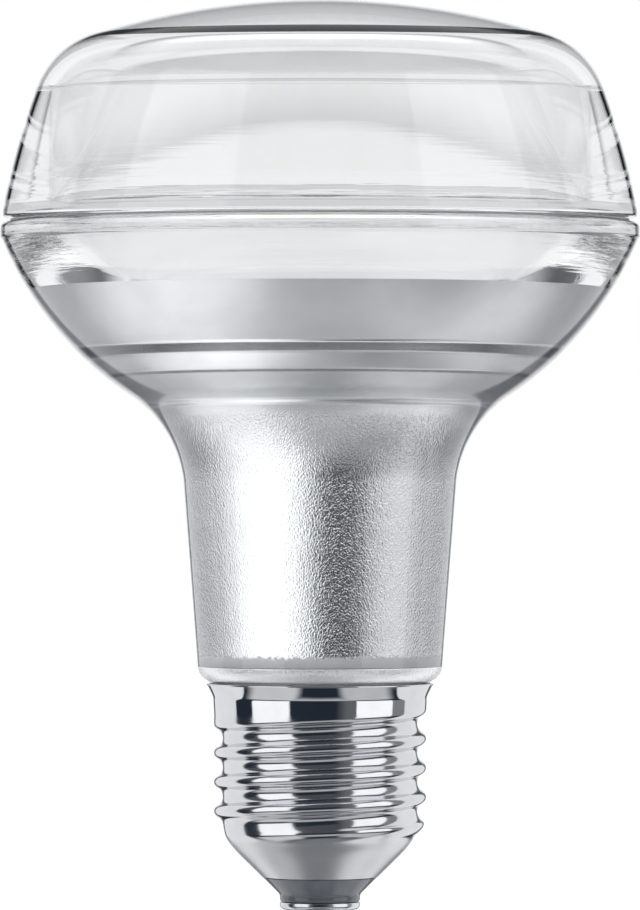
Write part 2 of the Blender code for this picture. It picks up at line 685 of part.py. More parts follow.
def make_leds(package):
    """One light in the centre and a ring round it, each a package with a sunk face."""
    bm = bmesh.new()
    bmesh.ops.create_cube(bm, size=1)
    bmesh.ops.scale(bm, vec=(LED_WIDTH, LED_WIDTH, LED_HEIGHT), verts=bm.verts)
    top = max(bm.faces, key=lambda face: face.calc_center_median().z)
    bmesh.ops.inset_region(bm, faces=[top], thickness=LED_BEVEL)
    bmesh.ops.inset_region(bm, faces=[top], thickness=LED_BEVEL, depth=-LED_BEVEL)
    height = LIGHT_BOARD_TOP_Z + SEAT_GAP + LED_HEIGHT / 2
    first = finished("led_1", bm, package, (0, 0, height))
    for index, (angle, x, y) in enumerate(ring_places(LED_RING_RADIUS, LED_RING_COUNT, 1 / 2)):
        placed(f"led_{index + 2}", first.data, (x, y, height), angle)


def make_board_screws(steel):
    """Slotted pan-head screws through board and pad into the spreader."""
    head_z = LIGHT_BOARD_TOP_Z + SEAT_GAP
    head_top = head_z + SCREW_HEAD_HEIGHT
    foot_z = SPREADER_TOP_Z - SPREADER_PLATE - SCREW_STUB
    outline = [
        (0, foot_z),
        (SCREW_RADIUS, foot_z),
        (SCREW_RADIUS, head_z),
        (SCREW_HEAD_RADIUS, head_z),
        (SCREW_HEAD_RADIUS, head_z + SCREW_HEAD_HEIGHT / 2),
        ((SCREW_RADIUS + SCREW_HEAD_RADIUS) / 2, head_top),
        (0, head_top),
    ]
    for index, (x, y) in enumerate(screw_places()):
        screw = turned(f"board_screw_{index + 1}", outline, steel, SMALL_FACETS, (x, y, 0))
        slot_z = head_top - SCREW_SLOT_DEPTH + CUT_OVERRUN / 2
        slot = block(
            f"board_screw_slot_{index + 1}",
            2 * SCREW_HEAD_RADIUS + CUT_OVERRUN,
            SCREW_SLOT_WIDTH,
            CUT_OVERRUN,
            0,
            steel,
            (x, y, slot_z),
        )
        boolean(screw, slot, "DIFFERENCE")


def make_driver_housing(plastic):
    """The driver's tube: a floor on the insulator, a flange inside the spreader and a hole for the wire."""
    floor_top = HOUSING_Z + HOUSING_FLOOR
    spreader_foot_z = SPREADER_TOP_Z - SPREADER_SKIRT_HEIGHT
    flange_z = spreader_foot_z + HOUSING_FLANGE_RISE
    flange_top = flange_z + HOUSING_FLANGE_HEIGHT
    flange_radius = skirt_radius(spreader_foot_z) - SPREADER_WALL - SEAT_GAP
    outline = [
        (HOUSING_FLOOR_HOLE, HOUSING_Z),
        (HOUSING_RADIUS - HOUSING_CHAMFER, HOUSING_Z),
        (HOUSING_RADIUS, HOUSING_Z + HOUSING_CHAMFER),
        (HOUSING_RADIUS, flange_z),
        (flange_radius, flange_z),
        (flange_radius, flange_top),
        (HOUSING_BORE, flange_top),
        (HOUSING_BORE, floor_top),
        (HOUSING_FLOOR_HOLE, floor_top),
    ]
    housing = turned("driver_housing", outline, plastic, ROUND_FACETS)
    reach = HOUSING_WALL + CUT_OVERRUN
    hole = bar("wire_hole", WIRE_RADIUS + WIRE_CLEARANCE, -reach, reach, plastic)
    hole.location = (HOUSING_RADIUS, BOARD_FACE + WIRE_RADIUS, HOUSING_Z + WIRE_HOLE_RISE)
    hole.rotation_euler.y = math.radians(90)
    boolean(housing, hole, "DIFFERENCE")
    add_board_guides(housing, plastic)


def add_board_guides(housing, plastic):
    """Four ribs up the bore of the tube, a pair to each edge of the driver board."""
    near = BOARD_HALF_WIDTH - GUIDE_REACH
    far = HOUSING_BORE + HOUSING_WALL / 2
    low = HOUSING_Z + GUIDE_FOOT_RISE
    beside = BOARD_FACE + GUIDE_WIDTH / 2
    middle = Vector(((near + far) / 2, beside, (low + BOARD_TOP_Z) / 2))
    for index, (side, face) in enumerate(((1, 1), (1, -1), (-1, 1), (-1, -1))):
        place = (middle.x * side, middle.y * face, middle.z)
        name = f"board_guide_{index + 1}"
        guide = block(name, far - near, GUIDE_WIDTH, BOARD_TOP_Z - low, 0, plastic, place)
        boolean(housing, guide, "UNION")


def make_driver_board(laminate):
    """The upright board, cut away below for the resistor."""
    half, notch = BOARD_HALF_WIDTH, BOARD_NOTCH_WIDTH / 2
    notch_z = BOARD_Z + BOARD_NOTCH_HEIGHT
    right_side = [
        (notch, notch_z),
        (notch, BOARD_Z),
        (half - BOARD_CORNER, BOARD_Z),
        (half, BOARD_Z + BOARD_CORNER),
        (half, BOARD_TOP_Z - BOARD_CORNER),
        (half - BOARD_CORNER, BOARD_TOP_Z),
    ]
    outline = right_side + [(-x, z) for x, z in reversed(right_side)]
    bm = bmesh.new()
    face = bm.faces.new([bm.verts.new((x, -BOARD_THICKNESS / 2, z)) for x, z in outline])
    pulled = bmesh.ops.extrude_face_region(bm, geom=[face])["geom"]
    corners = [item for item in pulled if isinstance(item, bmesh.types.BMVert)]
    bmesh.ops.translate(bm, vec=(0, BOARD_THICKNESS, 0), verts=corners)
    return finished("driver_board", bm, laminate)


def wall_place_x(radius):
    """How far sideways an upright round part stands that touches the board and the housing."""
    reach = HOUSING_BORE - SEAT_GAP - radius
    return math.sqrt(max(reach**2 - (BOARD_FACE + radius) ** 2, 0))


def make_film_capacitor(resin):
    middle = BOARD_Z + FILM_RISE + FILM_HEIGHT / 2
    place = (0, -BOARD_FACE - FILM_DEPTH / 2, middle)
    block("film_capacitor", FILM_WIDTH, FILM_DEPTH, FILM_HEIGHT, FILM_BEVEL, resin, place)


def make_inductor(ferrite, copper):
    """A drum core with its winding between the flanges."""
    place = (wall_place_x(INDUCTOR_RADIUS), -BOARD_FACE - INDUCTOR_RADIUS, BOARD_Z + INDUCTOR_RISE)
    top = INDUCTOR_HEIGHT
    core = [
        (0, 0),
        (INDUCTOR_RADIUS, 0),
        (INDUCTOR_RADIUS, INDUCTOR_FLANGE),
        (INDUCTOR_CORE_RADIUS, INDUCTOR_FLANGE),
        (INDUCTOR_CORE_RADIUS, top - INDUCTOR_FLANGE),
        (INDUCTOR_RADIUS, top - INDUCTOR_FLANGE),
        (INDUCTOR_RADIUS, top),
        (0, top),
    ]
    turned("inductor_core", core, ferrite, SMALL_FACETS, place)
    inner = INDUCTOR_CORE_RADIUS + SEAT_GAP
    outer = INDUCTOR_RADIUS - WINDING_INSET
    low, high = INDUCTOR_FLANGE + SEAT_GAP, top - INDUCTOR_FLANGE - SEAT_GAP
    winding = [(inner, low), (outer, low), (outer, high), (inner, high)]
    turned("inductor_winding", winding, copper, SMALL_FACETS, place)


def make_bulk_capacitor(sleeve):
    """An aluminium can in its sleeve, with the crimp above its base and a rounded edge at each end."""
    place = (-wall_place_x(CAPACITOR_RADIUS), -BOARD_FACE - CAPACITOR_RADIUS, BOARD_Z + CAPACITOR_RISE)
    crimp_high = CAPACITOR_CRIMP_RISE + CAPACITOR_CRIMP_HEIGHT
    outline = [
        (0, 0),
        (CAPACITOR_RADIUS - CAPACITOR_EDGE, 0),
        (CAPACITOR_RADIUS, CAPACITOR_EDGE),
        (CAPACITOR_RADIUS, CAPACITOR_CRIMP_RISE),
        (CAPACITOR_RADIUS - CAPACITOR_CRIMP, (CAPACITOR_CRIMP_RISE + crimp_high) / 2),
        (CAPACITOR_RADIUS, crimp_high),
        (CAPACITOR_RADIUS, CAPACITOR_HEIGHT - CAPACITOR_EDGE),
        (CAPACITOR_RADIUS - CAPACITOR_EDGE, CAPACITOR_HEIGHT),
        (0, CAPACITOR_HEIGHT),
    ]
    turned("bulk_capacitor", outline, sleeve, SMALL_FACETS, place)


def make_package(name, size, place_x, rise, pins, resin):
    """A moulded package on the back face, with flat leads out of both sides, the nearest to the board."""
    width, depth, height = size
    middle = Vector((place_x, BOARD_FACE + depth / 2, BOARD_Z + rise + height / 2))
    package = block(name, width, depth, height, PACKAGE_BEVEL, resin, middle)
    for pin in range(pins):
        lift = height * ((pin + 1 / 2) / pins - 1 / 2)
        lead_y = BOARD_FACE + PACKAGE_BEVEL + LEAD_THICKNESS
        lead = block(
            f"{name}_lead_{pin + 1}",
            width + 2 * LEAD_REACH,
            LEAD_THICKNESS,
            LEAD_WIDTH,
            0,
            resin,
            (place_x, lead_y, middle.z + lift),
        )
        boolean(package, lead, "UNION")


def make_supply_leads(lead, resin):
    """Wire and fusible resistor in line above the contact pin, and the wire out to the shell."""
    wire_low = INSULATOR_TOP_Z + PIN_STUB + SEAT_GAP
    wire_high = wire_low + CONTACT_WIRE_LENGTH
    bar("contact_wire", WIRE_RADIUS, wire_low, wire_high, lead, WIRE_FACETS)
    low = wire_high + SEAT_GAP
    high = BOARD_Z + BOARD_NOTCH_HEIGHT - SEAT_GAP
    body_low, body_high = low + RESISTOR_LEAD, high - RESISTOR_LEAD
    waist = RESISTOR_RADIUS - RESISTOR_WAIST
    outline = [
        (0, low),
        (WIRE_RADIUS, low),
        (WIRE_RADIUS, body_low),
        (waist, body_low),
        (RESISTOR_RADIUS, body_low + RESISTOR_WAIST),
        (RESISTOR_RADIUS, body_low + RESISTOR_BEAD),
        (waist, body_low + RESISTOR_BEAD + RESISTOR_WAIST),
        (waist, body_high - RESISTOR_BEAD - RESISTOR_WAIST),
        (RESISTOR_RADIUS, body_high - RESISTOR_BEAD),
        (RESISTOR_RADIUS, body_high - RESISTOR_WAIST),
        (waist, body_high),
        (WIRE_RADIUS, body_high),
        (WIRE_RADIUS, high),
        (0, high),
    ]
    turned("fusible_resistor", outline, resin, SMALL_FACETS)

    beside = BOARD_FACE + WIRE_RADIUS
    far = math.sqrt((THREAD_ROOT_RADIUS - SHEET - SEAT_GAP - WIRE_RADIUS) ** 2 - beside**2)
    wire_z = HOUSING_Z + WIRE_HOLE_RISE
    bend_start = Vector((far - SHELL_WIRE_BEND, wire_z))
    bend_end = Vector((far, wire_z + SHELL_WIRE_BEND))
    route = [Vector((HOUSING_BORE - SHELL_WIRE_BEND, wire_z)), bend_start]
    route += arc(bend_start, bend_end, SHELL_WIRE_BEND, 4)
    route += [Vector((far, wire_z + SHELL_WIRE_HEIGHT))]
    curve = bpy.data.curves.new("shell_wire", "CURVE")
    curve.dimensions = "3D"
    curve.bevel_depth = WIRE_RADIUS
    curve.bevel_resolution = 1
    curve.use_fill_caps = True
    spline = curve.splines.new("POLY")
    spline.points.add(len(route) - 1)
    for point, (x, z) in zip(spline.points, route):
        point.co = (x, beside, z, 1)
    curve.materials.append(lead)
    placed("shell_wire", curve)


def make_output_pins(lead):
    """Two pins from the driver board up through spreader and pad to the light board."""
    low = BOARD_TOP_Z - OUTPUT_PIN_OVERLAP
    high = LIGHT_BOARD_TOP_Z + OUTPUT_PIN_STUB
    for index, (x, y) in enumerate(output_pin_places()):
        bar(f"output_pin_{index + 1}", OUTPUT_PIN_RADIUS, low, high, lead, WIRE_FACETS, (x, y, 0))


def build():
    clear_scene()
    coated_glass = material("coated glass", (0.80, 0.81, 0.82), 0.2, metallic=0.9)
    clear_glass = material("clear glass", (0.93, 0.95, 0.95), 0.02, transmission=1)
    adhesive = material("adhesive", (0.45, 0.46, 0.47), 0.4)
    plated = material("nickel plate", (0.70, 0.71, 0.72), 0.18, metallic=1)
    cement = material("cap cement", (0.75, 0.72, 0.65), 0.8)
    vitrite = material("insulator glass", (0.03, 0.035, 0.045), 0.12)
    aluminium = material("drawn aluminium", (0.78, 0.79, 0.80), 0.35, metallic=1)
    pad = material("thermal pad", (0.45, 0.55, 0.62), 0.8)
    solder_mask = material("white solder mask", (0.88, 0.88, 0.86), 0.45)
    package = material("light package", (0.90, 0.72, 0.25), 0.4)
    steel = material("screw steel", (0.60, 0.61, 0.62), 0.3, metallic=1)
    plastic = material("housing plastic", (0.85, 0.85, 0.83), 0.5)
    laminate = material("board laminate", (0.10, 0.32, 0.16), 0.5)
    resin = material("black resin", (0.04, 0.04, 0.045), 0.5)
    film = material("film capacitor case", (0.45, 0.10, 0.06), 0.45)
    ferrite = material("ferrite", (0.08, 0.08, 0.085), 0.7)
    copper = material("enamelled copper", (0.62, 0.28, 0.13), 0.3, metallic=1)
    sleeve = material("capacitor sleeve", (0.05, 0.06, 0.10), 0.4)
    lead = material("tinned lead", (0.72, 0.72, 0.71), 0.3, metallic=1)
    ceramic = material("resistor coat", (0.35, 0.45, 0.42), 0.5)

    make_glass_bowl(coated_glass)
    make_front_dome(clear_glass)
    make_rim_adhesive(adhesive)
    make_cap_shell(plated)
    make_cap_cement(cement)
    make_cap_insulator(vitrite)
    make_contacts(plated)
    make_heat_spreader(aluminium)
    make_light_board(pad, solder_mask)
    make_leds(package)
    make_board_screws(steel)
    make_driver_housing(plastic)
    make_driver_board(laminate)
    make_film_capacitor(film)
    make_inductor(ferrite, copper)
    make_bulk_capacitor(sleeve)
    chip_size = (CHIP_WIDTH, CHIP_DEPTH, CHIP_HEIGHT)
    rectifier_size = (RECTIFIER_WIDTH, RECTIFIER_DEPTH, RECTIFIER_HEIGHT)
    make_package("driver_chip", chip_size, CHIP_PLACE_X, CHIP_RISE, CHIP_PINS, resin)
    make_package(
        "bridge_rectifier", rectifier_size, RECTIFIER_PLACE_X, RECTIFIER_RISE, RECTIFIER_PINS, resin
    )
    make_supply_leads(lead, ceramic)
    make_output_pins(lead)


build()
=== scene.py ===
import math

import bmesh
import bpy
from mathutils import Matrix, Vector, noise


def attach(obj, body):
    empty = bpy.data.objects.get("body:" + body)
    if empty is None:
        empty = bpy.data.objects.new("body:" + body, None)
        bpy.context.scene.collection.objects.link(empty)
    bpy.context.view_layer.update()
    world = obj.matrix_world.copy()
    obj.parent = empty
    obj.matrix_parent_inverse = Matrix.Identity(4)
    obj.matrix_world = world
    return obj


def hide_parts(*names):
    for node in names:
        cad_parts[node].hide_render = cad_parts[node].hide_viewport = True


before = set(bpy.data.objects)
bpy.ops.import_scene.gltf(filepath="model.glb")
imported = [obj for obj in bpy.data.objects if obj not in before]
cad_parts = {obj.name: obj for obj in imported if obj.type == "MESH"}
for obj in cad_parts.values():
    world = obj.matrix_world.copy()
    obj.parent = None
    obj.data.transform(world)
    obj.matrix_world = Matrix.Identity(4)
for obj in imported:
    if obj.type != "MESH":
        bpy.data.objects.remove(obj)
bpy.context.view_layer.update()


# Contact pin and contact plate
# The plate is stamped from nickelled brass and lies under the insulator; the pin is driven up through it,
# and its flat head is the tip that meets the sprung contact of the holder.
MM = 0.001
PIN_RADIUS = 1.0
PIN_TOP = 8.6
HEAD_FACE = 2.42
HEAD_STEP = 2.72
HEAD_RADIUS = 3.12
HEAD_TOP = 0.6
PLATE_BORE = 3.45
PLATE_FOOT = 0.35
PLATE_FACE = 4.4
PLATE_RADIUS = 5.0
PLATE_TOP = 1.28
SHARP_ANGLE = math.radians(38)
# Nearly all of a noise lies between these
NOISE_LOW, NOISE_HIGH = 0.3, 0.7


def arc(start, end, radius, steps):
    """Points from start to end along an arc, without the start; a positive radius bulges right of the way."""
    start, end = Vector(start), Vector(end)
    way = end - start
    half = way.length / 2
    side = math.copysign(1, radius)
    reach = max(abs(radius), half)
    right = Vector((way.y, -way.x)).normalized()
    centre = (start + end) / 2 - right * side * math.sqrt(reach**2 - half**2)
    turn = 2 * math.asin(half / reach) * side
    turns = [Matrix.Rotation(turn * step / steps, 2) for step in range(1, steps + 1)]
    return [centre + turned @ (start - centre) for turned in turns]


def add_piece(name, mesh, slot, *nodes):
    """Puts a finished mesh in the scene as a piece of the lamp that stands for these CAD nodes."""
    piece = bpy.data.objects.new(name, mesh)
    bpy.context.scene.collection.objects.link(piece)
    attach(piece, "root")
    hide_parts(*nodes)
    return piece


def turned_mesh(name, outline, columns, finishes, zones=None, shift=None):
    """A mesh turned about Z from a closed outline of (radius, height) in mm.

    zones gives the finish of each stretch of the outline, and shift may move a point by its row and angle.
    """
    bm = bmesh.new()
    rings = []
    for row, (radius, height) in enumerate(outline):
        count = 1 if radius < 1e-6 else columns
        ring = []
        for column in range(count):
            angle = math.tau * column / columns
            out = radius + (shift(row, radius, height, angle) if shift else 0)
            ring.append(bm.verts.new((out * math.cos(angle) * MM, out * math.sin(angle) * MM, height * MM)))
        rings.append(ring)
    for row, near in enumerate(rings):
        far = rings[(row + 1) % len(rings)]
        for column in range(columns):
            after = column + 1
            near_pair = [near[column % len(near)], near[after % len(near)]]
            far_pair = [far[after % len(far)], far[column % len(far)]]
            unique = list(dict.fromkeys(near_pair + far_pair))
            if len(unique) > 2:
                bm.faces.new(unique).material_index = zones[row] if zones else 0
    bmesh.ops.recalc_face_normals(bm, faces=bm.faces)
    mesh = bpy.data.meshes.new(name)
    bm.to_mesh(mesh)
    bm.free()
    mesh.shade_smooth()
    mesh.set_sharp_from_angle(angle=SHARP_ANGLE)
    for finish in finishes:
        mesh.materials.append(finish)
    return mesh


def ranged(tree, value, low, high, to_low=0.0, to_high=1.0, smooth=False):
    """A Map Range node: value from low to high becomes to_low to to_high, and stays there beyond."""
    node = tree.nodes.new("ShaderNodeMapRange")
    node.interpolation_type = "SMOOTHSTEP" if smooth else "LINEAR"
    names = ("Value", "From Min", "From Max", "To Min", "To Max")
    for name, given in zip(names, (value, low, high, to_low, to_high)):
        if isinstance(given, bpy.types.NodeSocket):
            tree.links.new(given, node.inputs[name])
        else:
            node.inputs[name].default_value = given
    return node.outputs["Result"]


def plain_finish(name, colour, roughness, metallic=0.0, **sockets):
    """A Principled material with constant values on its sockets."""
    finish = bpy.data.materials.new(name)
    finish.use_nodes = True
    shader = finish.node_tree.nodes["Principled BSDF"]
    shader.inputs["Base Color"].default_value = (*colour, 1)
    shader.inputs["Roughness"].default_value = roughness
    shader.inputs["Metallic"].default_value = metallic
    for socket, value in sockets.items():
        shader.inputs[socket.replace("_", " ")].default_value = value
    return finish


def mottle(finish, grain_mm, stretch=(1, 1, 1), detail=3.0):
    """A noise over the piece's own coordinates with grains of this size; stretch squeezes it by axis."""
    tree = finish.node_tree
    place = tree.nodes.new("ShaderNodeTexCoord")
    mapping = tree.nodes.new("ShaderNodeMapping")
    mapping.inputs["Scale"].default_value = stretch
    tree.links.new(place.outputs["Object"], mapping.inputs["Vector"])
    texture = tree.nodes.new("ShaderNodeTexNoise")
    texture.inputs["Scale"].default_value = 1 / (grain_mm * MM)
    texture.inputs["Detail"].default_value = detail
    tree.links.new(mapping.outputs["Vector"], texture.inputs["Vector"])
    return texture.outputs["Fac"]


def vary_colour(finish, value, dark, light):
    """Base colour between two tones, by a noise."""
    tree = finish.node_tree
    mix = tree.nodes.new("ShaderNodeMix")
    mix.data_type = "RGBA"
    mix.inputs["A"].default_value = (*dark, 1)
    mix.inputs["B"].default_value = (*light, 1)
    tree.links.new(ranged(tree, value, NOISE_LOW, NOISE_HIGH), mix.inputs["Factor"])
    tree.links.new(mix.outputs["Result"], tree.nodes["Principled BSDF"].inputs["Base Color"])


def vary_roughness(finish, value, low, high):
    """Roughness between two values, by a noise."""
    tree = finish.node_tree
    rough = ranged(tree, value, NOISE_LOW, NOISE_HIGH, low, high)
    tree.links.new(rough, tree.nodes["Principled BSDF"].inputs["Roughness"])


def relief(finish, value, depth_mm, strength=1.0):
    """Small height differences of this depth, on top of any that the finish already has."""
    tree = finish.node_tree
    bump = tree.nodes.new("ShaderNodeBump")
    bump.inputs["Distance"].default_value = depth_mm * MM
    if isinstance(strength, bpy.types.NodeSocket):
        tree.links.new(strength, bump.inputs["Strength"])
    else:
        bump.inputs["Strength"].default_value = strength
    tree.links.new(value, bump.inputs["Height"])
    normal = tree.nodes["Principled BSDF"].inputs["Normal"]
    if normal.is_linked:
        tree.links.new(normal.links[0].from_socket, bump.inputs["Normal"])
    tree.links.new(bump.outputs["Normal"], normal)


contact_metal = plain_finish("contact_nickel", (0.74, 0.75, 0.76), 0.22, 1.0)
vary_colour(contact_metal, mottle(contact_metal, 1.6), (0.66, 0.67, 0.68), (0.78, 0.79, 0.8))
vary_roughness(contact_metal, mottle(contact_metal, 0.9), 0.14, 0.24)
relief(contact_metal, mottle(contact_metal, 0.4), 0.002)

pin_outline = [(0, 0), (HEAD_FACE, 0), *arc((HEAD_FACE, 0), (HEAD_STEP, 0.13), 0.4, 5)]
pin_outline += arc((HEAD_RADIUS, 0.5), (HEAD_RADIUS, HEAD_TOP), 0.08, 4)
pin_outline += [(PIN_RADIUS, HEAD_TOP), (PIN_RADIUS, PIN_TOP), (0, PIN_TOP)]
pin_mesh = turned_mesh("contact_pin_head", pin_outline, 64, [contact_metal])
add_piece("contact_pin_head", pin_mesh, "nickel_plate", "contact_pin")

plate_outline = [(PLATE_BORE, PLATE_FOOT), (PLATE_FACE, PLATE_FOOT)]
plate_outline += [*arc((PLATE_FACE, PLATE_FOOT), (PLATE_RADIUS, 0.85), 0.62, 8), (PLATE_RADIUS, 1.18)]
plate_outline += [*arc((PLATE_RADIUS, 1.18), (4.9, PLATE_TOP), 0.1, 3), (PLATE_BORE, PLATE_TOP)]
plate_mesh = turned_mesh("contact_plate", plate_outline, 96, [contact_metal])
add_piece("contact_plate", plate_mesh, "nickel_plate", "centre_contact")


# Insulator in the end of the cap
# Dark glass, pressed hot into the cone of the shell, with a nose that stands out and holds the contact plate.
# Its skin is fire polished, and faintly uneven where it cooled.
INSULATOR_BORE = 1.3
INSULATOR_FOOT = 1.3
INSULATOR_TOP = 7.8
NOSE_RADIUS = 4.98
insulator_glass = plain_finish("insulator_glass", (0.09, 0.1, 0.115), 0.12, IOR=1.55)
vary_colour(insulator_glass, mottle(insulator_glass, 3.0), (0.075, 0.085, 0.1), (0.11, 0.12, 0.135))
vary_roughness(insulator_glass, mottle(insulator_glass, 1.0), 0.1, 0.2)
relief(insulator_glass, mottle(insulator_glass, 1.4), 0.008)

insulator_outline = [(INSULATOR_BORE, INSULATOR_FOOT), (4.66, INSULATOR_FOOT)]
insulator_outline += [*arc((4.66, INSULATOR_FOOT), (NOSE_RADIUS, 1.65), 0.36, 5), (NOSE_RADIUS, 2.0)]
insulator_outline += [*arc((NOSE_RADIUS, 2.0), (5.2, 2.42), -0.9, 6), (7.03, 4.26), (6.6, 4.3)]
insulator_outline += [(9.74, 7.4), (9.3, INSULATOR_TOP), (INSULATOR_BORE, INSULATOR_TOP)]
insulator_mesh = turned_mesh("insulator", insulator_outline, 96, [insulator_glass])
add_piece("insulator", insulator_mesh, "insulator_glass", "cap_insulator")


# Screw shell of the cap
# One sheet of brass, drawn to a cup with a conical end, then rolled between two rollers that press the thread
# into it, and nickel plated. The thread fades out into the cone below and the collar above.
SHELL_FOOT = 4.3
CAP_TOP = 28.3
SHEET = 0.3
THREAD_SIZES = {
    "Foot": SHELL_FOOT * MM,
    "Height": (CAP_TOP - SHELL_FOOT) * MM,
    "Crest radius": 13.2 * MM,
    "Pitch": 3.629 * MM,
    "Depth": 1.1 * MM,
    "Crest height": 16.13 * MM,
    "Cone end radius": 7.1 * MM,
    "Cone rise": 4.9 * MM,
    "Cone blend": 3.0 * MM,
    "Run-out": 2.0 * MM,
    "Lower run-out": 10.5 * MM,
    "Upper run-out": 23.4 * MM,
    "Collar height": 25.3 * MM,
    "Collar step": 0.1 * MM,
    "Collar blend": 2.4 * MM,
    "Lip flare": 0.85 * MM,
    "Lip height": 1.75 * MM,
    "Lip curve": 1.15,
    "Crest share": 0.41,
}
THREAD_COLUMNS = 224
THREAD_ROWS = 210

# The cone is duller than the thread, and the thread than the collar
CONE_DULL = (8.8, 9.6, 0.16)
THREAD_DULL = (24.2, 25.0, 0.08)

shell_nickel = plain_finish("shell_nickel", (0.72, 0.73, 0.75), 0.07, 1.0)


def sum_up(tree, operation, *values):
    """A Math node of this operation; each value is a number or another node's output."""
    node = tree.nodes.new("ShaderNodeMath")
    node.operation = operation
    for socket, value in zip(node.inputs, values):
        if isinstance(value, bpy.types.NodeSocket):
            tree.links.new(value, socket)
        else:
            socket.default_value = value
    return node.outputs[0]


def height_mm(finish):
    """The height above the lamp's tip in mm, for what changes along the axis."""
    tree = finish.node_tree
    place = tree.nodes.new("ShaderNodeTexCoord")
    split = tree.nodes.new("ShaderNodeSeparateXYZ")
    tree.links.new(place.outputs["Object"], split.inputs["Vector"])
    return sum_up(tree, "DIVIDE", split.outputs["Z"], MM)


def grow_screw_shell(sizes, finish):
    """A Geometry Nodes tree that bends a flat sheet of points round the axis and rolls the thread into it."""
    tree = bpy.data.node_groups.new("rolled screw shell", "GeometryNodeTree")
    for label, value in sizes.items():
        socket = tree.interface.new_socket(label, in_out="INPUT", socket_type="NodeSocketFloat")
        socket.default_value = value
    for label in ("Columns", "Rows"):
        tree.interface.new_socket(label, in_out="INPUT", socket_type="NodeSocketInt")
    tree.interface.new_socket("Shell", in_out="OUTPUT", socket_type="NodeSocketGeometry")
    given = tree.nodes.new("NodeGroupInput").outputs
    grid = tree.nodes.new("GeometryNodeMeshGrid")
    grid.inputs["Size X"].default_value = 1
    grid.inputs["Size Y"].default_value = 1
    tree.links.new(given["Columns"], grid.inputs["Vertices X"])
    tree.links.new(given["Rows"], grid.inputs["Vertices Y"])
    place = tree.nodes.new("ShaderNodeSeparateXYZ")
    tree.links.new(tree.nodes.new("GeometryNodeInputPosition").outputs[0], place.inputs[0])

    def add(a, b):
        return sum_up(tree, "ADD", a, b)

    def less(a, b):
        return sum_up(tree, "SUBTRACT", a, b)

    def times(a, b):
        return sum_up(tree, "MULTIPLY", a, b)

    def share(a, b):
        return sum_up(tree, "DIVIDE", a, b)

    def step(value):
        return ranged(tree, value, 0.0, 1.0, smooth=True)

    pitch, depth = given["Pitch"], given["Depth"]
    run_out = given["Run-out"]
    round_share = add(place.outputs["X"], 0.5)
    angle = times(round_share, math.tau)
    height = add(given["Foot"], times(add(place.outputs["Y"], 0.5), given["Height"]))
    start = less(round_share, 0.5)
    turns = less(share(less(height, given["Crest height"]), pitch), start)
    crest_z = add(given["Crest height"], times(add(sum_up(tree, "ROUND", turns), start), pitch))
    groove_z = add(given["Crest height"], times(add(add(sum_up(tree, "FLOOR", turns), 0.5), start), pitch))

    def rise(roll, across):
        return sum_up(tree, "SQRT", less(times(roll, roll), times(across, across)))

    quarter = share(pitch, 4.0)
    half_pitch = times(quarter, 2.0)
    half_depth = share(depth, 2.0)
    rolls = share(add(times(quarter, quarter), times(half_depth, half_depth)), half_depth)
    crest_roll = times(rolls, given["Crest share"])
    groove_roll = less(rolls, crest_roll)
    offset = times(sum_up(tree, "ABSOLUTE", less(turns, sum_up(tree, "ROUND", turns))), pitch)
    on_crest = less(crest_roll, rise(crest_roll, offset))
    in_groove = add(less(depth, groove_roll), rise(groove_roll, less(half_pitch, offset)))
    beyond = sum_up(tree, "GREATER_THAN", offset, times(half_pitch, given["Crest share"]))
    thread = add(times(on_crest, less(1.0, beyond)), times(in_groove, beyond))

    crest_left = step(share(add(less(crest_z, given["Lower run-out"]), run_out), run_out))
    groove_left = step(share(less(add(given["Upper run-out"], run_out), groove_z), run_out))
    dip = times(less(depth, times(less(depth, thread), crest_left)), groove_left)

    cap_top = add(given["Foot"], given["Height"])
    above_collar = less(height, given["Collar height"])
    collar = times(given["Collar step"], step(add(share(above_collar, given["Collar blend"]), 0.5)))
    lip = sum_up(tree, "MAXIMUM", add(share(less(height, cap_top), given["Lip height"]), 1.0), 0.0)
    lip = times(sum_up(tree, "POWER", lip, given["Lip curve"]), given["Lip flare"])
    wall = add(add(less(given["Crest radius"], dip), collar), lip)
    root = less(given["Crest radius"], depth)
    cone_slope = share(less(root, given["Cone end radius"]), given["Cone rise"])
    cone = add(given["Cone end radius"], times(less(height, given["Foot"]), cone_slope))
    radius = sum_up(tree, "SMOOTH_MIN", wall, cone, given["Cone blend"])

    bent = tree.nodes.new("ShaderNodeCombineXYZ")
    tree.links.new(times(radius, sum_up(tree, "COSINE", angle)), bent.inputs["X"])
    tree.links.new(times(radius, sum_up(tree, "SINE", angle)), bent.inputs["Y"])
    tree.links.new(height, bent.inputs["Z"])
    roll_up = tree.nodes.new("GeometryNodeSetPosition")
    tree.links.new(grid.outputs["Mesh"], roll_up.inputs["Geometry"])
    tree.links.new(bent.outputs["Vector"], roll_up.inputs["Position"])
    close = tree.nodes.new("GeometryNodeMergeByDistance")
    close.inputs["Distance"].default_value = 0.001 * MM
    real = tree.nodes.new("GeometryNodeRealizeInstances")
    coat = tree.nodes.new("GeometryNodeSetMaterial")
    coat.inputs["Material"].default_value = finish
    out = tree.nodes.new("NodeGroupOutput")
    tree.links.new(roll_up.outputs["Geometry"], close.inputs["Geometry"])
    tree.links.new(close.outputs["Geometry"], real.inputs["Geometry"])
    tree.links.new(real.outputs["Geometry"], coat.inputs["Geometry"])
    tree.links.new(coat.outputs["Geometry"], out.inputs[0])
    return tree


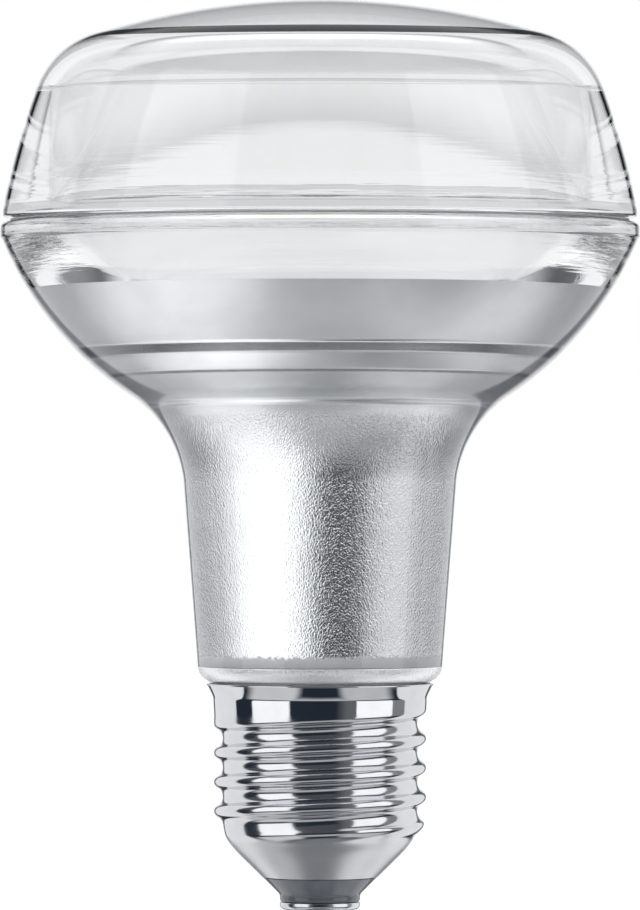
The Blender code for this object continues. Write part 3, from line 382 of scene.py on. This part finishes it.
def grown_mesh(name, tree, whole_numbers):
    """The mesh that a Geometry Nodes tree makes, with its whole-number inputs set, as a plain mesh."""
    seed = bpy.data.objects.new(name, bpy.data.meshes.new(name))
    bpy.context.scene.collection.objects.link(seed)
    modifier = seed.modifiers.new("grow", "NODES")
    modifier.node_group = tree
    for item in tree.interface.items_tree:
        if item.item_type == "SOCKET" and item.in_out == "INPUT" and item.name in whole_numbers:
            modifier[item.identifier] = whole_numbers[item.name]
    graph = bpy.context.evaluated_depsgraph_get()
    mesh = bpy.data.meshes.new_from_object(seed.evaluated_get(graph), depsgraph=graph)
    seed.modifiers.remove(modifier)
    bpy.data.objects.remove(seed)
    mesh.name = name
    return mesh


shell_tree = grow_screw_shell(THREAD_SIZES, shell_nickel)
shell_mesh = grown_mesh("screw_shell", shell_tree, {"Columns": THREAD_COLUMNS + 1, "Rows": THREAD_ROWS + 1})
shell_bm = bmesh.new()
shell_bm.from_mesh(shell_mesh)
bmesh.ops.recalc_face_normals(shell_bm, faces=shell_bm.faces)
if sum(f.normal.dot(f.calc_center_median() * Vector((1, 1, 0))) for f in shell_bm.faces) < 0:
    bmesh.ops.reverse_faces(shell_bm, faces=shell_bm.faces)
shell_bm.to_mesh(shell_mesh)
shell_bm.free()
shell_mesh.shade_smooth()
screw_shell = add_piece("screw_shell", shell_mesh, "nickel_plate", "cap_shell")
sheet = screw_shell.modifiers.new("sheet", "SOLIDIFY")
sheet.thickness = SHEET * MM
sheet.offset = -1
sheet.use_even_offset = True

nickel_tree = shell_nickel.node_tree
shell_height = height_mm(shell_nickel)
draw_lines = mottle(shell_nickel, 0.5, (0.08, 0.08, 1.0))
smudges = mottle(shell_nickel, 3.0)
shell_rough = ranged(nickel_tree, smudges, NOISE_LOW, NOISE_HIGH, 0.03, 0.06)
for full_below, none_above, added in (THREAD_DULL, CONE_DULL):
    dull = ranged(nickel_tree, shell_height, full_below, none_above, 1.0, 0.0)
    shell_rough = sum_up(nickel_tree, "ADD", shell_rough, sum_up(nickel_tree, "MULTIPLY", dull, added))
nickel_tree.links.new(shell_rough, nickel_tree.nodes["Principled BSDF"].inputs["Roughness"])
vary_colour(shell_nickel, smudges, (0.69, 0.7, 0.72), (0.75, 0.76, 0.78))
relief(shell_nickel, draw_lines, 0.002)


# Cement between the cap and the glass
# Grey cap cement, baked between the collar and the tail of the glass. It stays below the lip of the collar.
def dress(node, finish):
    """Gives a piece that keeps its CAD mesh its finish."""
    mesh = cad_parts[node].data
    mesh.materials.clear()
    mesh.materials.append(finish)


cement = plain_finish("cap_cement", (0.62, 0.6, 0.55), 0.85)
vary_colour(cement, mottle(cement, 0.6), (0.5, 0.48, 0.43), (0.72, 0.7, 0.64))
relief(cement, mottle(cement, 0.2), 0.05)
dress("cap_cement", cement)


# Lower glass: neck, bowl and flange
# Pressed in one piece from clear glass. Its inner face is metal coated from the foot of the neck up to a sharp
# edge below the flange; the neck has a pebbled inner face, and rings are pressed into the foot of the bowl.
COLUMNS = 256
TAIL_FOOT = 25.0
TAIL_RADIUS = 11.9
TAIL_BORE = 10.52
SHOULDER_FOOT = 28.6
SHOULDER_EDGE = 13.7
SHOULDER_STEPS = 10
NECK_FOOT = 30.5
NECK_FOOT_RADIUS = 15.2
NECK_TOP = 53.6
NECK_TOP_RADIUS = 16.95
NECK_STEPS = 60
BOWL_FOOT = 64.0
BOWL_FOOT_RADIUS = 23.35
FLANGE_FOOT = 83.5
BOWL_RADIUS = 39.45
FLANGE_RADIUS = 39.65
FLANGE_BORE = 33.65
RIM = 85.55
RIM_EDGE = 34.05
COAT_FOOT = 31.9
COAT_EDGE = 77.2
# Heights between which the coat passes from one kind of skin to the next
SHOULDER_END = (30.3, 30.7)
GRAIN_END = (61.8, 63.2)
BOWL_START = (61.8, 64.0)
GRAIN_SIZE = 0.21
GRAIN_DEPTH = 0.084
RAGGED_DEPTH = 1.6
PEBBLE_TOP = 62.5
PEBBLE_DEPTH = 0.006
PEBBLE_SIZE = 0.7
# Wall thickness by height of the outer face: each step of the inner face is a pressed ring
WALLS = [(NECK_FOOT, 1.6), (62.6, 1.6), (62.8, 1.9), (66.2, 1.9), (66.4, 1.75), (68.3, 2.6), (68.5, 2.5)]
WALLS += [(69.6, 1.8), (69.8, 2.0), (COAT_EDGE, 2.0)]

neck_rise = NECK_TOP - NECK_FOOT
neck_flare = NECK_TOP_RADIUS - NECK_FOOT_RADIUS
lower_outside = []
for step in range(NECK_STEPS):
    point = Vector((NECK_FOOT_RADIUS, NECK_FOOT + neck_rise * step / NECK_STEPS))
    point.x = NECK_FOOT_RADIUS + neck_flare * (point.y - NECK_FOOT) / neck_rise
    lower_outside.append(point)
lower_outside.append(Vector((NECK_TOP_RADIUS, NECK_TOP)))
lower_outside += arc((NECK_TOP_RADIUS, NECK_TOP), (BOWL_FOOT_RADIUS, BOWL_FOOT), -14.6, 36)
lower_outside += arc((BOWL_FOOT_RADIUS, BOWL_FOOT), (BOWL_RADIUS, FLANGE_FOOT), 43.4, 90)


def wall_at(height):
    """The wall's thickness where the outer face has this height."""
    for (low, low_wall), (high, high_wall) in zip(WALLS, WALLS[1:]):
        if low <= height <= high:
            return low_wall + (high_wall - low_wall) * (height - low) / (high - low)
    return WALLS[-1][1]


def inner_face(outside, highest):
    """The inner outline, a wall's thickness to the left of the rising outer one."""
    inside = []
    for index, point in enumerate(outside):
        if point.y <= highest:
            way = (outside[min(index + 1, len(outside) - 1)] - outside[max(index - 1, 0)]).normalized()
            inside.append(point + Vector((-way.y, way.x)) * wall_at(point.y))
    return inside


lower_inside = inner_face(lower_outside, COAT_EDGE)
bowl_outline = [Vector((TAIL_RADIUS, TAIL_FOOT)), Vector((TAIL_RADIUS, SHOULDER_FOOT))]
shoulder_start = len(bowl_outline)
bowl_outline.append(Vector((SHOULDER_EDGE, SHOULDER_FOOT)))
bowl_outline += arc((SHOULDER_EDGE, SHOULDER_FOOT), (NECK_FOOT_RADIUS, NECK_FOOT), 2.2, SHOULDER_STEPS)
bowl_outline += lower_outside[1:]
bowl_outline += [*arc((BOWL_RADIUS, FLANGE_FOOT), (FLANGE_RADIUS, 83.95), 0.5, 4), Vector((FLANGE_RADIUS, 84.85))]
bowl_outline += [*arc((FLANGE_RADIUS, 84.85), (38.95, RIM), 0.7, 8), Vector((RIM_EDGE, RIM))]
bowl_outline += [*arc((RIM_EDGE, RIM), (FLANGE_BORE, 85.15), 0.4, 5), Vector((FLANGE_BORE, 80.85))]
bowl_outline += [*reversed(lower_inside), Vector((TAIL_BORE, SHOULDER_FOOT)), Vector((TAIL_BORE, TAIL_FOOT))]
CLEAR, COATED = 0, 1
inner_start = len(bowl_outline) - len(lower_inside) - 2
bowl_zones = [CLEAR] * len(bowl_outline)
inner_rows = range(inner_start, len(bowl_outline) - 1)
shoulder_rows = range(shoulder_start, shoulder_start + SHOULDER_STEPS)
for row in (*inner_rows, *shoulder_rows):
    bowl_zones[row] = COATED

bowl_glass = plain_finish("bowl_glass", (0.97, 0.975, 0.975), 0.0, Transmission_Weight=1.0, IOR=1.5)
flange_share = ranged(bowl_glass.node_tree, height_mm(bowl_glass), 79.5, 81.0)
relief(bowl_glass, mottle(bowl_glass, 0.45, (0.03, 0.03, 1.0)), 0.02, flange_share)
vary_roughness(bowl_glass, mottle(bowl_glass, 2.0, detail=1.0), 0.0, 0.02)

# The coat is clouded and ragged at its foot, finely grained on neck and shoulder, and softer on the bowl
coat = plain_finish("metal_coat", (0.86, 0.87, 0.89), 0.12, 1.0)
coat_tree = coat.node_tree
coat_height = height_mm(coat)
ragged = sum_up(coat_tree, "SUBTRACT", mottle(coat, 0.6, detail=5.0), 0.5)
ragged = sum_up(coat_tree, "ADD", coat_height, sum_up(coat_tree, "MULTIPLY", ragged, RAGGED_DEPTH))
hazy = ranged(coat_tree, ragged, COAT_FOOT - 0.25, COAT_FOOT + 0.25, 1.0, 0.0)
shoulder = ranged(coat_tree, coat_height, *SHOULDER_END, 0.7, 0.0)
hazy = sum_up(coat_tree, "SUBTRACT", hazy, shoulder)
pebbled = ranged(coat_tree, coat_height, *GRAIN_END, 0.55, 0.0)
pebbled = sum_up(coat_tree, "ADD", pebbled, sum_up(coat_tree, "MULTIPLY", shoulder, 0.6))
relief(coat, mottle(coat, GRAIN_SIZE, (1, 1, 0.8), detail=1.0), GRAIN_DEPTH, pebbled)
coat_rough = sum_up(coat_tree, "ADD", sum_up(coat_tree, "MULTIPLY", hazy, 0.28), 0.11)
on_bowl = ranged(coat_tree, coat_height, *BOWL_START, 0.0, 0.15)
coat_rough = sum_up(coat_tree, "ADD", coat_rough, on_bowl)
coat_tree.links.new(coat_rough, coat_tree.nodes["Principled BSDF"].inputs["Roughness"])
coat_metal = sum_up(coat_tree, "SUBTRACT", 1.0, sum_up(coat_tree, "MULTIPLY", hazy, 0.95))
coat_tree.links.new(coat_metal, coat_tree.nodes["Principled BSDF"].inputs["Metallic"])
vary_colour(coat, mottle(coat, 4.0), (0.88, 0.89, 0.9), (0.94, 0.95, 0.96))


def pebble(row, radius, height, angle):
    """How far the pebbles of the neck's inner face move a point."""
    if row < inner_start or not SHOULDER_FOOT + 0.2 <= height <= PEBBLE_TOP:
        return 0.0
    spot = Vector((radius * math.cos(angle), radius * math.sin(angle), height * 0.8)) / PEBBLE_SIZE
    return PEBBLE_DEPTH * noise.noise(spot)


bowl_mesh = turned_mesh("lower_glass", bowl_outline, COLUMNS, [bowl_glass, coat], bowl_zones, pebble)
add_piece("lower_glass", bowl_mesh, "coated_glass", "glass_bowl")


# Light unit in the top of the neck
# A drawn aluminium cup, a soft pad, and a white-lacquered round board with seven packages and three screws.
drawn_aluminium = plain_finish("drawn_aluminium", (0.78, 0.79, 0.8), 0.35, 1.0)
vary_roughness(drawn_aluminium, mottle(drawn_aluminium, 0.5, (1, 1, 0.1)), 0.28, 0.45)
relief(drawn_aluminium, mottle(drawn_aluminium, 0.4, (1, 1, 0.1)), 0.006)
pad_rubber = plain_finish("thermal_pad", (0.42, 0.52, 0.6), 0.8)
vary_colour(pad_rubber, mottle(pad_rubber, 0.8), (0.38, 0.48, 0.56), (0.46, 0.56, 0.64))
relief(pad_rubber, mottle(pad_rubber, 0.3), 0.03)
board_lacquer = plain_finish("board_lacquer", (0.88, 0.88, 0.86), 0.4)
vary_colour(board_lacquer, mottle(board_lacquer, 2.5), (0.84, 0.84, 0.82), (0.91, 0.91, 0.9))
relief(board_lacquer, mottle(board_lacquer, 0.25), 0.006)
screw_zinc = plain_finish("screw_zinc", (0.62, 0.63, 0.64), 0.3, 1.0)
vary_roughness(screw_zinc, mottle(screw_zinc, 0.4), 0.22, 0.42)
relief(screw_zinc, mottle(screw_zinc, 0.2), 0.01)
light_package = plain_finish("light_package", (0.9, 0.72, 0.2), 0.35)
vary_colour(light_package, mottle(light_package, 0.15), (0.86, 0.66, 0.14), (0.94, 0.78, 0.3))
relief(light_package, mottle(light_package, 0.12), 0.01)

dress("heat_spreader", drawn_aluminium)
dress("thermal_pad", pad_rubber)
dress("led_board", board_lacquer)
for number in range(1, 8):
    dress(f"led_{number}", light_package)
for number in range(1, 4):
    dress(f"board_screw_{number}", screw_zinc)


# Driver in its tube
# A moulded tube holds an upright laminate board with the parts that feed the lights.
housing_plastic = plain_finish("housing_plastic", (0.86, 0.86, 0.84), 0.5)
vary_roughness(housing_plastic, mottle(housing_plastic, 0.8), 0.42, 0.6)
relief(housing_plastic, mottle(housing_plastic, 0.25), 0.01)
laminate = plain_finish("laminate", (0.08, 0.3, 0.15), 0.4)
vary_colour(laminate, mottle(laminate, 0.7, (1, 1, 4)), (0.06, 0.26, 0.12), (0.1, 0.34, 0.18))
relief(laminate, mottle(laminate, 0.3), 0.006)
film_lacquer = plain_finish("film_lacquer", (0.45, 0.1, 0.06), 0.3)
vary_colour(film_lacquer, mottle(film_lacquer, 1.5), (0.38, 0.08, 0.05), (0.5, 0.13, 0.08))
relief(film_lacquer, mottle(film_lacquer, 0.9), 0.03)
ferrite = plain_finish("ferrite", (0.08, 0.08, 0.085), 0.7)
vary_colour(ferrite, mottle(ferrite, 0.3), (0.06, 0.06, 0.065), (0.11, 0.11, 0.115))
relief(ferrite, mottle(ferrite, 0.2), 0.02)
copper = plain_finish("enamelled_copper", (0.62, 0.28, 0.13), 0.28, 1.0)
vary_colour(copper, mottle(copper, 0.5, (0.1, 0.1, 1)), (0.5, 0.2, 0.09), (0.7, 0.34, 0.17))
relief(copper, mottle(copper, 0.25, (0.05, 0.05, 1)), 0.06)
sleeve = plain_finish("capacitor_sleeve", (0.05, 0.06, 0.1), 0.35)
vary_colour(sleeve, mottle(sleeve, 1.5), (0.04, 0.05, 0.085), (0.07, 0.08, 0.13))
relief(sleeve, mottle(sleeve, 0.8), 0.01)
resin = plain_finish("black_resin", (0.04, 0.04, 0.045), 0.55)
vary_roughness(resin, mottle(resin, 0.3), 0.45, 0.65)
relief(resin, mottle(resin, 0.12), 0.01)
resistor_coat = plain_finish("resistor_coat", (0.35, 0.45, 0.42), 0.45)
vary_colour(resistor_coat, mottle(resistor_coat, 0.6), (0.3, 0.4, 0.37), (0.4, 0.5, 0.47))
relief(resistor_coat, mottle(resistor_coat, 0.4), 0.02)
tinned = plain_finish("tinned_wire", (0.72, 0.72, 0.71), 0.3, 1.0)
vary_roughness(tinned, mottle(tinned, 0.4), 0.2, 0.45)
relief(tinned, mottle(tinned, 0.3), 0.01)

DRIVER_FINISHES = {
    "driver_housing": housing_plastic,
    "driver_board": laminate,
    "film_capacitor": film_lacquer,
    "inductor_core": ferrite,
    "inductor_winding": copper,
    "bulk_capacitor": sleeve,
    "driver_chip": resin,
    "bridge_rectifier": resin,
    "fusible_resistor": resistor_coat,
    "contact_wire": tinned,
    "shell_wire": tinned,
    "output_pin_1": tinned,
    "output_pin_2": tinned,
}
for node, finish in DRIVER_FINISHES.items():
    dress(node, finish)


# Bond line between the two glasses
# A thin ring of clear adhesive, cured grey, that joins the flange and the foot of the front.
adhesive = plain_finish("rim_adhesive", (0.75, 0.77, 0.78), 0.3, Transmission_Weight=0.6, IOR=1.45)
vary_colour(adhesive, mottle(adhesive, 1.5), (0.68, 0.7, 0.71), (0.8, 0.82, 0.83))
relief(adhesive, mottle(adhesive, 0.8), 0.02)
BOND_BORE = 34.65
BOND_RADIUS = 38.35
BOND_FOOT = 85.75
BOND_TOP = 85.95
bond_outline = [(BOND_BORE, BOND_FOOT), (BOND_RADIUS, BOND_FOOT)]
bond_outline += [*arc((BOND_RADIUS, BOND_FOOT), (BOND_RADIUS, BOND_TOP), 0.12, 4), (BOND_BORE, BOND_TOP)]
add_piece("bond_line", turned_mesh("bond_line", bond_outline, 192, [adhesive]), "rim_bond", "rim_adhesive")


# Front glass
# Pressed from clear glass: a flat crown, a rounded shoulder, and a side wall that thickens down to its foot,
# where a small bead overhangs the joint. It is bonded to the flange of the lower glass.
TOP = 113.1
DOME_FOOT = 86.15
SIDE_TOP = 35.0
CROWN_DROP = 4.35
CROWN_WALL = 2.0
SHOULDER_REACH = 6.6
SHOULDER_DROP = 6.2
BEAD_RADIUS = 39.35
BEAD_TOP = 0.85
DOME_BORE = 33.65
FOOT_EDGE = 34.05
crown_end = Vector((SIDE_TOP - SHOULDER_REACH, TOP - CROWN_DROP))
shoulder_end = Vector((SIDE_TOP, TOP - CROWN_DROP - SHOULDER_DROP))
crown = [Vector((0, TOP)), *arc((0, TOP), crown_end, -94.9, 48), *arc(crown_end, shoulder_end, -10.15, 30)]
crown_under = []
for index, point in enumerate(crown):
    way = crown[min(index + 1, len(crown) - 1)] - crown[max(index - 1, 0)]
    way.normalize()
    crown_under.append(point + Vector((way.y, -way.x)) * CROWN_WALL)
crown_under[0] = Vector((0, TOP - CROWN_WALL))
crown_under.append(crown_under[-1] + (crown_under[-1] - crown_under[-2]).normalized())
dome_outline = crown + arc(shoulder_end, (BEAD_RADIUS, DOME_FOOT + BEAD_TOP), -99.0, 30)
dome_outline.append(Vector((BEAD_RADIUS, DOME_FOOT + 0.3)))
dome_outline += arc((BEAD_RADIUS, DOME_FOOT + 0.3), (39.05, DOME_FOOT), -0.3, 6)
dome_outline.append(Vector((FOOT_EDGE, DOME_FOOT)))
dome_outline += arc((FOOT_EDGE, DOME_FOOT), (DOME_BORE, DOME_FOOT + 0.4), -0.4, 5)
dome_outline += reversed(crown_under)
front_glass = plain_finish("front_glass", (0.97, 0.975, 0.975), 0.0, Transmission_Weight=1.0, IOR=1.5)
side_foot = ranged(front_glass.node_tree, height_mm(front_glass), 88.0, 96.0, 1.0, 0.0)
relief(front_glass, mottle(front_glass, 0.9, (0.03, 0.03, 1.0)), 0.006, side_foot)
vary_roughness(front_glass, mottle(front_glass, 2.0, detail=1.0), 0.0, 0.015)
dome_mesh = turned_mesh("front_glass", dome_outline, COLUMNS, [front_glass])
add_piece("front_glass", dome_mesh, "clear_glass", "front_dome")


# Studio
# The lamp stands on its tip on a plain pale floor, in front of a white background. Soft panels stand round it, given
# by the direction in which the lamp sees them: the azimuth is 0 towards the camera and grows to its right.
CAMERA_DISTANCE = 1.0
CAMERA_HEIGHT = 0.0567
VIEW_HEIGHT = 0.1129
# Each panel: azimuth of its middle, half its width, softness; lowest and highest elevation, softness;
# brightness. Rays that have passed through glass see the first list, and rays off bare surfaces the second.
PANELS_FOR_GLASS = [
    (180, 70, 6, -5.8, -2.8, 0.5, 0.9),
    (180, 34, 6, -14, -5, 2, 0.9),
    (180, 70, 6, -3, 5, 1, 0.66),
    (-137, 25, 6, 7.5, 38, 2, 0.95),
    (137, 25, 6, 7.5, 38, 2, 0.95),
    (180, 30, 6, 4.5, 38, 2, 0.85),
    (0, 138, 8, 9, 46, 3, 1.12),
    (0, 110, 12, 2, 12, 4, 1.12),
    (-70, 36, 13, -40, 8, 6, 1.05),
    (-46, 35, 15, -42, 8, 6, 1.35),
    (80, 32, 18, -30, 8, 6, 0.7),
    (24, 16, 6, -30, 8, 6, 0.05),
    (-90, 54, 12, -70, -30, 5, 1.05),
    (-5, 32, 8, -68, -30, 6, 0.42),
    (44, 34, 8, -61, -28, 4, 0.3),
    (98, 18, 10, -60, -28, 6, 0.5),
    (80, 58, 14, -69, -60, 4, 0.88),
    (120, 22, 8, -60, -30, 5, 0.92),
    (-150, 20, 8, -72, -46, 5, 0.9),
    (152, 20, 8, -72, -46, 5, 0.65),
    (-145, 26, 12, -40, 60, 8, 0.18),
    (155, 20, 10, -40, -12, 6, 0.08),
    (0, 181, 1, -80, -66, 5, 0.55),
    (0, 181, 1, -95, -78, 4, 0.42),
    (0, 181, 1, 42, 95, 8, 1.5),
]
PANELS_FOR_METAL = [
    (180, 14, 5, -14, 12, 4, 1.0),
    (180, 24, 8, 28, 90, 6, 0.7),
    (-130.5, 27.5, 1.5, -50, 60, 10, 0.93),
    (131, 27, 1.5, -50, 60, 10, 0.93),
    (-55.7, 22.6, 1.5, -17, 43, 3, 1.25),
    (62.6, 22.7, 1, -17, 43, 3, 1.25),
    (-62, 32, 8, -62, -32, 5, 0.7),
    (62, 32, 8, -62, -32, 5, 0.6),
    (-62, 34, 10, 55, 80, 6, 0.8),
    (62, 34, 10, 55, 80, 6, 0.8),
    (94.5, 10, 1, -17, 43, 3, 0.25),
    (34, 12, 10, -30, 60, 10, 0.14),
    (0, 40, 10, -48, -24, 5, 0.5),
    (0, 181, 1, 10, 95, 5, 0.08),
    (-125, 30, 12, -74, -45, 8, 0.6),
    (125, 30, 12, -74, -45, 8, 0.9),
    (0, 181, 1, -95, -66, 8, 0.22),
]
SHADE = 0.02
BLUE_SHADE = (0.0, 0.008, 0.02)
FLOOR_REACH = 4
LIGHT_BOUNCES = 40
MIRROR_BOUNCES = 10

world = bpy.data.worlds.new("studio")
bpy.context.scene.world = world
world.use_nodes = True
studio = world.node_tree
studio.nodes.clear()
direction = studio.nodes.new("ShaderNodeTexCoord")
split = studio.nodes.new("ShaderNodeSeparateXYZ")
studio.links.new(direction.outputs["Generated"], split.inputs["Vector"])
azimuth = sum_up(studio, "ARCTAN2", split.outputs["X"], sum_up(studio, "MULTIPLY", split.outputs["Y"], -1.0))
azimuth = sum_up(studio, "DEGREES", azimuth)
elevation = sum_up(studio, "DEGREES", sum_up(studio, "ARCSINE", split.outputs["Z"]))


def light_of(panels):
    """The light that comes from the looked-at direction: its brightest panel, or the shade between them."""
    light = SHADE
    for middle, half, soft, low, high, edge, brightness in panels:
        turn = sum_up(studio, "WRAP", sum_up(studio, "SUBTRACT", azimuth, middle), 180.0, -180.0)
        turn = sum_up(studio, "ABSOLUTE", turn)
        across = ranged(studio, turn, half - soft, half + soft, 1.0, 0.0, smooth=True)
        above = ranged(studio, elevation, low - edge, low + edge, 0.0, 1.0, smooth=True)
        below = ranged(studio, elevation, high - edge, high + edge, 1.0, 0.0, smooth=True)
        panel = sum_up(studio, "MULTIPLY", sum_up(studio, "MULTIPLY", across, above), below)
        light = sum_up(studio, "MAXIMUM", sum_up(studio, "MULTIPLY", panel, brightness), light)
    tint = studio.nodes.new("ShaderNodeCombineColor")
    for channel, offset in zip(tint.inputs, BLUE_SHADE):
        studio.links.new(sum_up(studio, "ADD", light, offset), channel)
    background = studio.nodes.new("ShaderNodeBackground")
    studio.links.new(tint.outputs["Color"], background.inputs["Color"])
    return background.outputs["Background"]


def choose(where, plain, other):
    """One light where the factor is nought, and the other where it is one."""
    mix = studio.nodes.new("ShaderNodeMixShader")
    for socket, given in zip(mix.inputs, (where, plain, other)):
        studio.links.new(given, socket)
    return mix.outputs["Shader"]


seen = studio.nodes.new("ShaderNodeLightPath").outputs
white = studio.nodes.new("ShaderNodeBackground")
white.inputs["Color"].default_value = (1, 1, 1, 1)
light = choose(seen["Is Transmission Ray"], light_of(PANELS_FOR_METAL), light_of(PANELS_FOR_GLASS))
light = choose(seen["Is Camera Ray"], light, white.outputs["Background"])
studio_out = studio.nodes.new("ShaderNodeOutputWorld")
studio.links.new(light, studio_out.inputs["Surface"])

floor_paint = plain_finish("floor", (0.4, 0.4, 0.4), 0.9, Emission_Color=(1, 1, 1, 1), Emission_Strength=0.85)
floor_mesh = bpy.data.meshes.new("floor")
floor_corners = [(x * FLOOR_REACH, y * FLOOR_REACH, 0) for x, y in ((-1, -1), (1, -1), (1, 1), (-1, 1))]
floor_mesh.from_pydata(floor_corners, [], [(0, 1, 2, 3)])
floor_mesh.materials.append(floor_paint)
floor = bpy.data.objects.new("floor", floor_mesh)
bpy.context.scene.collection.objects.link(floor)
floor.visible_glossy = False
floor.visible_transmission = False
floor.visible_shadow = False

camera = bpy.data.objects.new("camera", bpy.data.cameras.new("camera"))
bpy.context.scene.collection.objects.link(camera)
camera.location = (0, -CAMERA_DISTANCE, CAMERA_HEIGHT)
camera.rotation_euler = (math.radians(90), 0, 0)
camera.data.sensor_fit = "AUTO"
camera.data.angle = 2 * math.atan(VIEW_HEIGHT / 2 / CAMERA_DISTANCE)
camera.data.clip_start = 0.01
bpy.context.scene.camera = camera
bpy.context.scene.view_settings.view_transform = "Standard"
bpy.context.scene.cycles.max_bounces = LIGHT_BOUNCES
bpy.context.scene.cycles.transmission_bounces = LIGHT_BOUNCES
bpy.context.scene.cycles.glossy_bounces = MIRROR_BOUNCES
